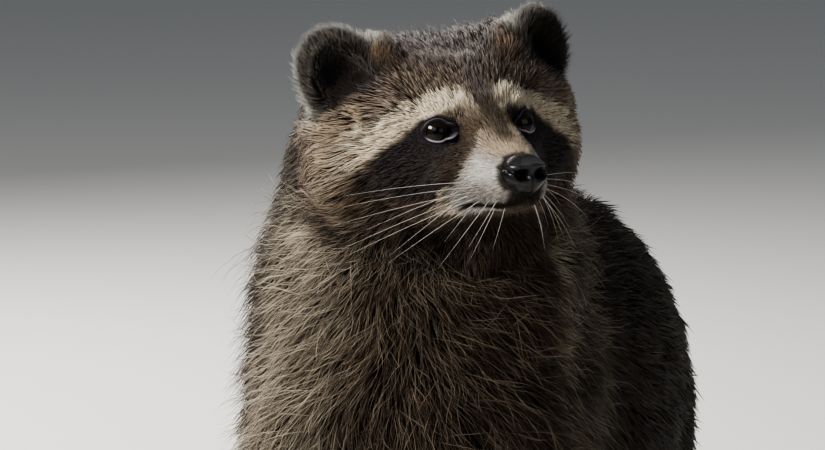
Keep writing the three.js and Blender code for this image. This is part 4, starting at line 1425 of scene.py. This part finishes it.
leg_coat_look = coat_material("leg_coat", 0.6, {"Pale tips": 0.25})
for name, here, seed in (
    ("foreleg_coat", (cy < 100) & (cz > 22), 141),
    ("hindleg_coat", (cy >= 100) & (cz > 26), 151),
):
    grow(
        name, ~in_tail & here, 2.4, 1, seed, leg_coat_look, "leg_coat", unwrap_legs,
        pull=0.4, wild=9, sway_scale=14, thick=1.15,
    )

# ==== Paw coat =====================================================================================
# Fine short hair that lies close over the tops of the paws and toes. The soles are bare skin, so
# no tuft grows under them.
grow(
    "paw_coat", ~in_tail & (cz <= 27) & (face_normal[:, 2] > -0.35) & (cz > 1.5), 1.8, 1, 161, leg_coat_look,
    "leg_coat", unwrap_legs, clump=3, pull=0.2, wild=9, sway=8, thick=1.4,
)

# ==== Tail coat ====================================================================================
# The bush: long hair that stands well off the tail, in black rings between buff ones, with a
# black tip.
def unwrap_tail(points, normals):
    """Unrolled round the tail, along its length."""
    return np.stack([np.arctan2(normals[:, 0], normals[:, 2]), points[:, 1] / 40], 1)


tail_coat_look = coat_material("tail_coat", 0.6, {"Pale tips": 0.3})
grow(
    "tail_coat", in_tail, 3.2, 2, 171, tail_coat_look, "tail_coat", unwrap_tail,
    clump=6, pull=0.5, wild=9, sway=10, sway_scale=22,
)

# ==== Whiskers =====================================================================================
# Stiff white hairs in rows on the upper lips, with shorter ones on the chin. Each is a thin solid
# cone that bends back and a little down.
WHISKER_THICKNESS, WHISKER_TIP, WHISKER_SIDES, WHISKER_STEPS = 0.24, 0.02, 5, 14
WHISKER_BACK, WHISKER_DROOP, WHISKER_SCATTER = 0.18, 0.11, 0.05
# The root of each in the head's frame, its direction and its length, mirrored to the other side.
WHISKERS = [
    ((18, -66, -27), (0.80, 0.45, -0.02), 64), ((20, -63, -30), (0.85, 0.42, -0.14), 74),
    ((17, -67, -31), (0.82, 0.40, -0.24), 66), ((22, -60, -26), (0.86, 0.50, -0.06), 56),
    ((22, -59, -33), (0.78, 0.45, -0.38), 66), ((18, -64, -34.5), (0.70, 0.36, -0.50), 52),
    ((24, -55, -30), (0.80, 0.55, -0.28), 50), ((15, -69, -34), (0.62, 0.28, -0.66), 40),
    ((24, -54, -35), (0.70, 0.5, -0.56), 44), ((12, -72, -33), (0.50, 0.05, -0.70), 26),
    ((10, -73, -40), (0.35, 0.05, -0.95), 20), ((14, -68, -41), (0.5, 0.15, -0.9), 26),
    ((20, -57, -40), (0.6, 0.3, -0.8), 24),
]
whisker_source = np.random.default_rng(181)


def add_tube(points, faces, line, across, over, size, sides, flip):
    """Adds one closed tube round a line to the points and faces of a piece."""
    first = sum(len(part) for part in points)
    turn = np.linspace(0, 2 * math.pi, sides, endpoint=False)[:, None]
    ring = across[:, None] * np.cos(turn) + over[:, None] * np.sin(turn)
    points.append((line[:, None] + ring * size[:, None, None]).reshape(-1, 3))
    faces += closed_faces(len(line), sides, flip, first)


def mottled_material(name, scale, low, high, roughness):
    """One colour that varies a little all over."""
    material, tree, surface = new_material(name)
    colour = blend(tree, "mottled", noise(tree, "unevenness", scale), low, high)
    feed(surface, {"Base Color": colour, "Roughness": roughness})
    return material


whisker_points = []
whisker_faces = []
steps = np.linspace(0, 1, WHISKER_STEPS)
radius = WHISKER_THICKNESS / 2 * (1 - steps) ** 0.7 + WHISKER_TIP
for side in (1, -1):
    for place, direction, length in WHISKERS:
        base, up = nearest_skin(from_head(np.array([place], float) * (side, 1, 1)))
        base = base[0] + up[0] * 0.3
        jitter = whisker_source.normal(0, WHISKER_SCATTER, 3)
        heading = unit(np.array(direction) * (side, 1, 1) + jitter) @ HEAD_TURN.T
        reach = length * whisker_source.uniform(0.85, 1.1)
        backward = HEAD_TURN @ np.array([side * -0.1, 0.9, 0.1])
        bend = (steps**2)[:, None] * backward * reach * WHISKER_BACK
        line = base + steps[:, None] * heading * reach + bend
        line[:, 2] -= steps**2 * reach * WHISKER_DROOP
        along = unit(np.gradient(line, axis=0))
        across = unit(np.cross(along, (0.3, 0.2, 1)))
        over = np.cross(along, across)
        add_tube(whisker_points, whisker_faces, line, across, over, radius, WHISKER_SIDES, -1)
whisker_look = mottled_material("whisker_hair", 90, (0.20, 0.18, 0.16, 1), (0.72, 0.68, 0.64, 1), 0.35)
whiskers = solid_piece("whiskers", np.concatenate(whisker_points), whisker_faces, whisker_look)

# ==== Claws ========================================================================================
# Short, curved claws of dark horn, one set in the tip of each of the twenty toes and bent down
# to the ground.
CLAW_STEPS, CLAW_SIDES = 9, 8
CLAW_LENGTH, CLAW_HALF, CLAW_HEIGHT, CLAW_ARCH = 12, 1.55, 2.2, 1.6
# How far behind and over the toe's tip a claw is rooted, the height of its end, and its lowest point.
CLAW_BACK, CLAW_UP, CLAW_END, CLAW_LOWEST = 3.0, 2.4, 0.7, 0.3
# The spacing of the toes on the half width of the sole, and how far forward on it they are rooted.
TOE_SPACING, TOE_ROOT, TOE_ROOT_FALL = 0.42, 0.86, 0.1
# The paws as in the solids, with degrees for their heading and for the fan of their toes.
PAWS = {
    "fore": dict(apart=112, heel=-40, stride=-9, heading=6, sole=34, half=17, radius=4.6,
                 fan=[-34, -15, 1, 17, 36], lengths=[21, 28, 31, 28, 21]),
    "hind": dict(apart=150, heel=262, stride=14, heading=7, sole=74, half=18, radius=4.8,
                 fan=[-24, -10, 1, 12, 26], lengths=[18, 25, 27, 25, 18]),
}
claw_points = []
claw_faces = []
steps = np.linspace(0, 1, CLAW_STEPS)
size = (1 - steps**1.5) * 0.93 + 0.07
for paw in PAWS.values():
    for side in (1, -1):
        heading = turn_about("z", side * math.radians(paw["heading"]))
        heel = np.array([side * paw["apart"] / 2, paw["heel"] + side * paw["stride"], 0])
        for i, (fan, length) in enumerate(zip(np.radians(paw["fan"]), paw["lengths"])):
            across = side * (i - 2) * paw["half"] * TOE_SPACING
            forward = paw["sole"] * (TOE_ROOT - TOE_ROOT_FALL * abs(i - 2))
            toe_root = heading @ (across, -forward, paw["radius"] * 0.9) + heel
            way = heading @ (side * math.sin(fan), -math.cos(fan), 0)
            tip = toe_root + way * length
            tip[2] = paw["radius"] * 0.75
            base = tip - way * CLAW_BACK + (0, 0, CLAW_UP)
            line = base + way * (steps * CLAW_LENGTH)[:, None]
            line[:, 2] += CLAW_ARCH * np.sin(steps * math.pi * 0.8) - steps**1.7 * (base[2] - CLAW_END)
            wide = np.cross(way, (0, 0, CLAW_HALF))[None]
            high = np.array([[0, 0, CLAW_HEIGHT]])
            add_tube(claw_points, claw_faces, line, wide, high, size, CLAW_SIDES, 1)
claw_points = np.concatenate(claw_points)
claw_points[:, 2] = np.maximum(claw_points[:, 2], CLAW_LOWEST)
horn = mottled_material("claw_horn", 400, (0.035, 0.026, 0.020, 1), (0.10, 0.075, 0.055, 1), 0.3)
claws = solid_piece("claws", claw_points, claw_faces, horn)

# ==== Floor, lamps and light =======================================================================
# A pale studio floor, a large soft lamp high on the animal's right, weaker ones in front
# and on its left, and a rim lamp behind.
FLOOR_HALF = 40
FLOOR_CORNERS = [(-FLOOR_HALF, -FLOOR_HALF, 0), (FLOOR_HALF, -FLOOR_HALF, 0),
                 (FLOOR_HALF, FLOOR_HALF, 0), (-FLOOR_HALF, FLOOR_HALF, 0)]
floor_mesh = bpy.data.meshes.new("studio_floor")
floor_mesh.from_pydata(FLOOR_CORNERS, [], [(0, 1, 2, 3)])
floor = in_scene("studio_floor", floor_mesh)
floor_mesh.materials.append(
    mottled_material("pale_floor", 3, (0.60, 0.59, 0.57, 1), (0.66, 0.65, 0.63, 1), 0.7)
)
floor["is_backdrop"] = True


def lamp(name, place, size, watts, colour):
    """A square soft lamp aimed at the chest."""
    light = in_scene(name, bpy.data.lights.new(name, "AREA"))
    light.data.shape = "SQUARE"
    light.data.size = size
    light.data.energy = watts
    light.data.color = colour
    light.location = aim + Vector(place)
    light.rotation_euler = (-Vector(place)).to_track_quat("-Z", "Y").to_euler()


lamp("key_lamp", (-1.25, -1.15, 1.35), 0.6, 66, (1.0, 0.95, 0.88))
lamp("fill_lamp", (-0.5, -1.7, 1.3), 1.0, 9, (0.80, 0.90, 1.0))
lamp("side_lamp", (1.6, -1.1, 0.8), 1.2, 4.5, (0.97, 1.0, 0.88))
lamp("rim_lamp", (-1.0, 1.1, 1.1), 0.8, 40, (1.0, 0.98, 0.95))
world = bpy.data.worlds.new("studio_air")
bpy.context.scene.world = world
world.use_nodes = True
feed(world.node_tree.nodes["Background"], {"Color": (0.50, 0.53, 0.57, 1), "Strength": 0.28})
view = bpy.context.scene.view_settings
view.view_transform = "AgX"
view.look = "AgX - Medium High Contrast"
view.exposure = 0.35

low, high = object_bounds()
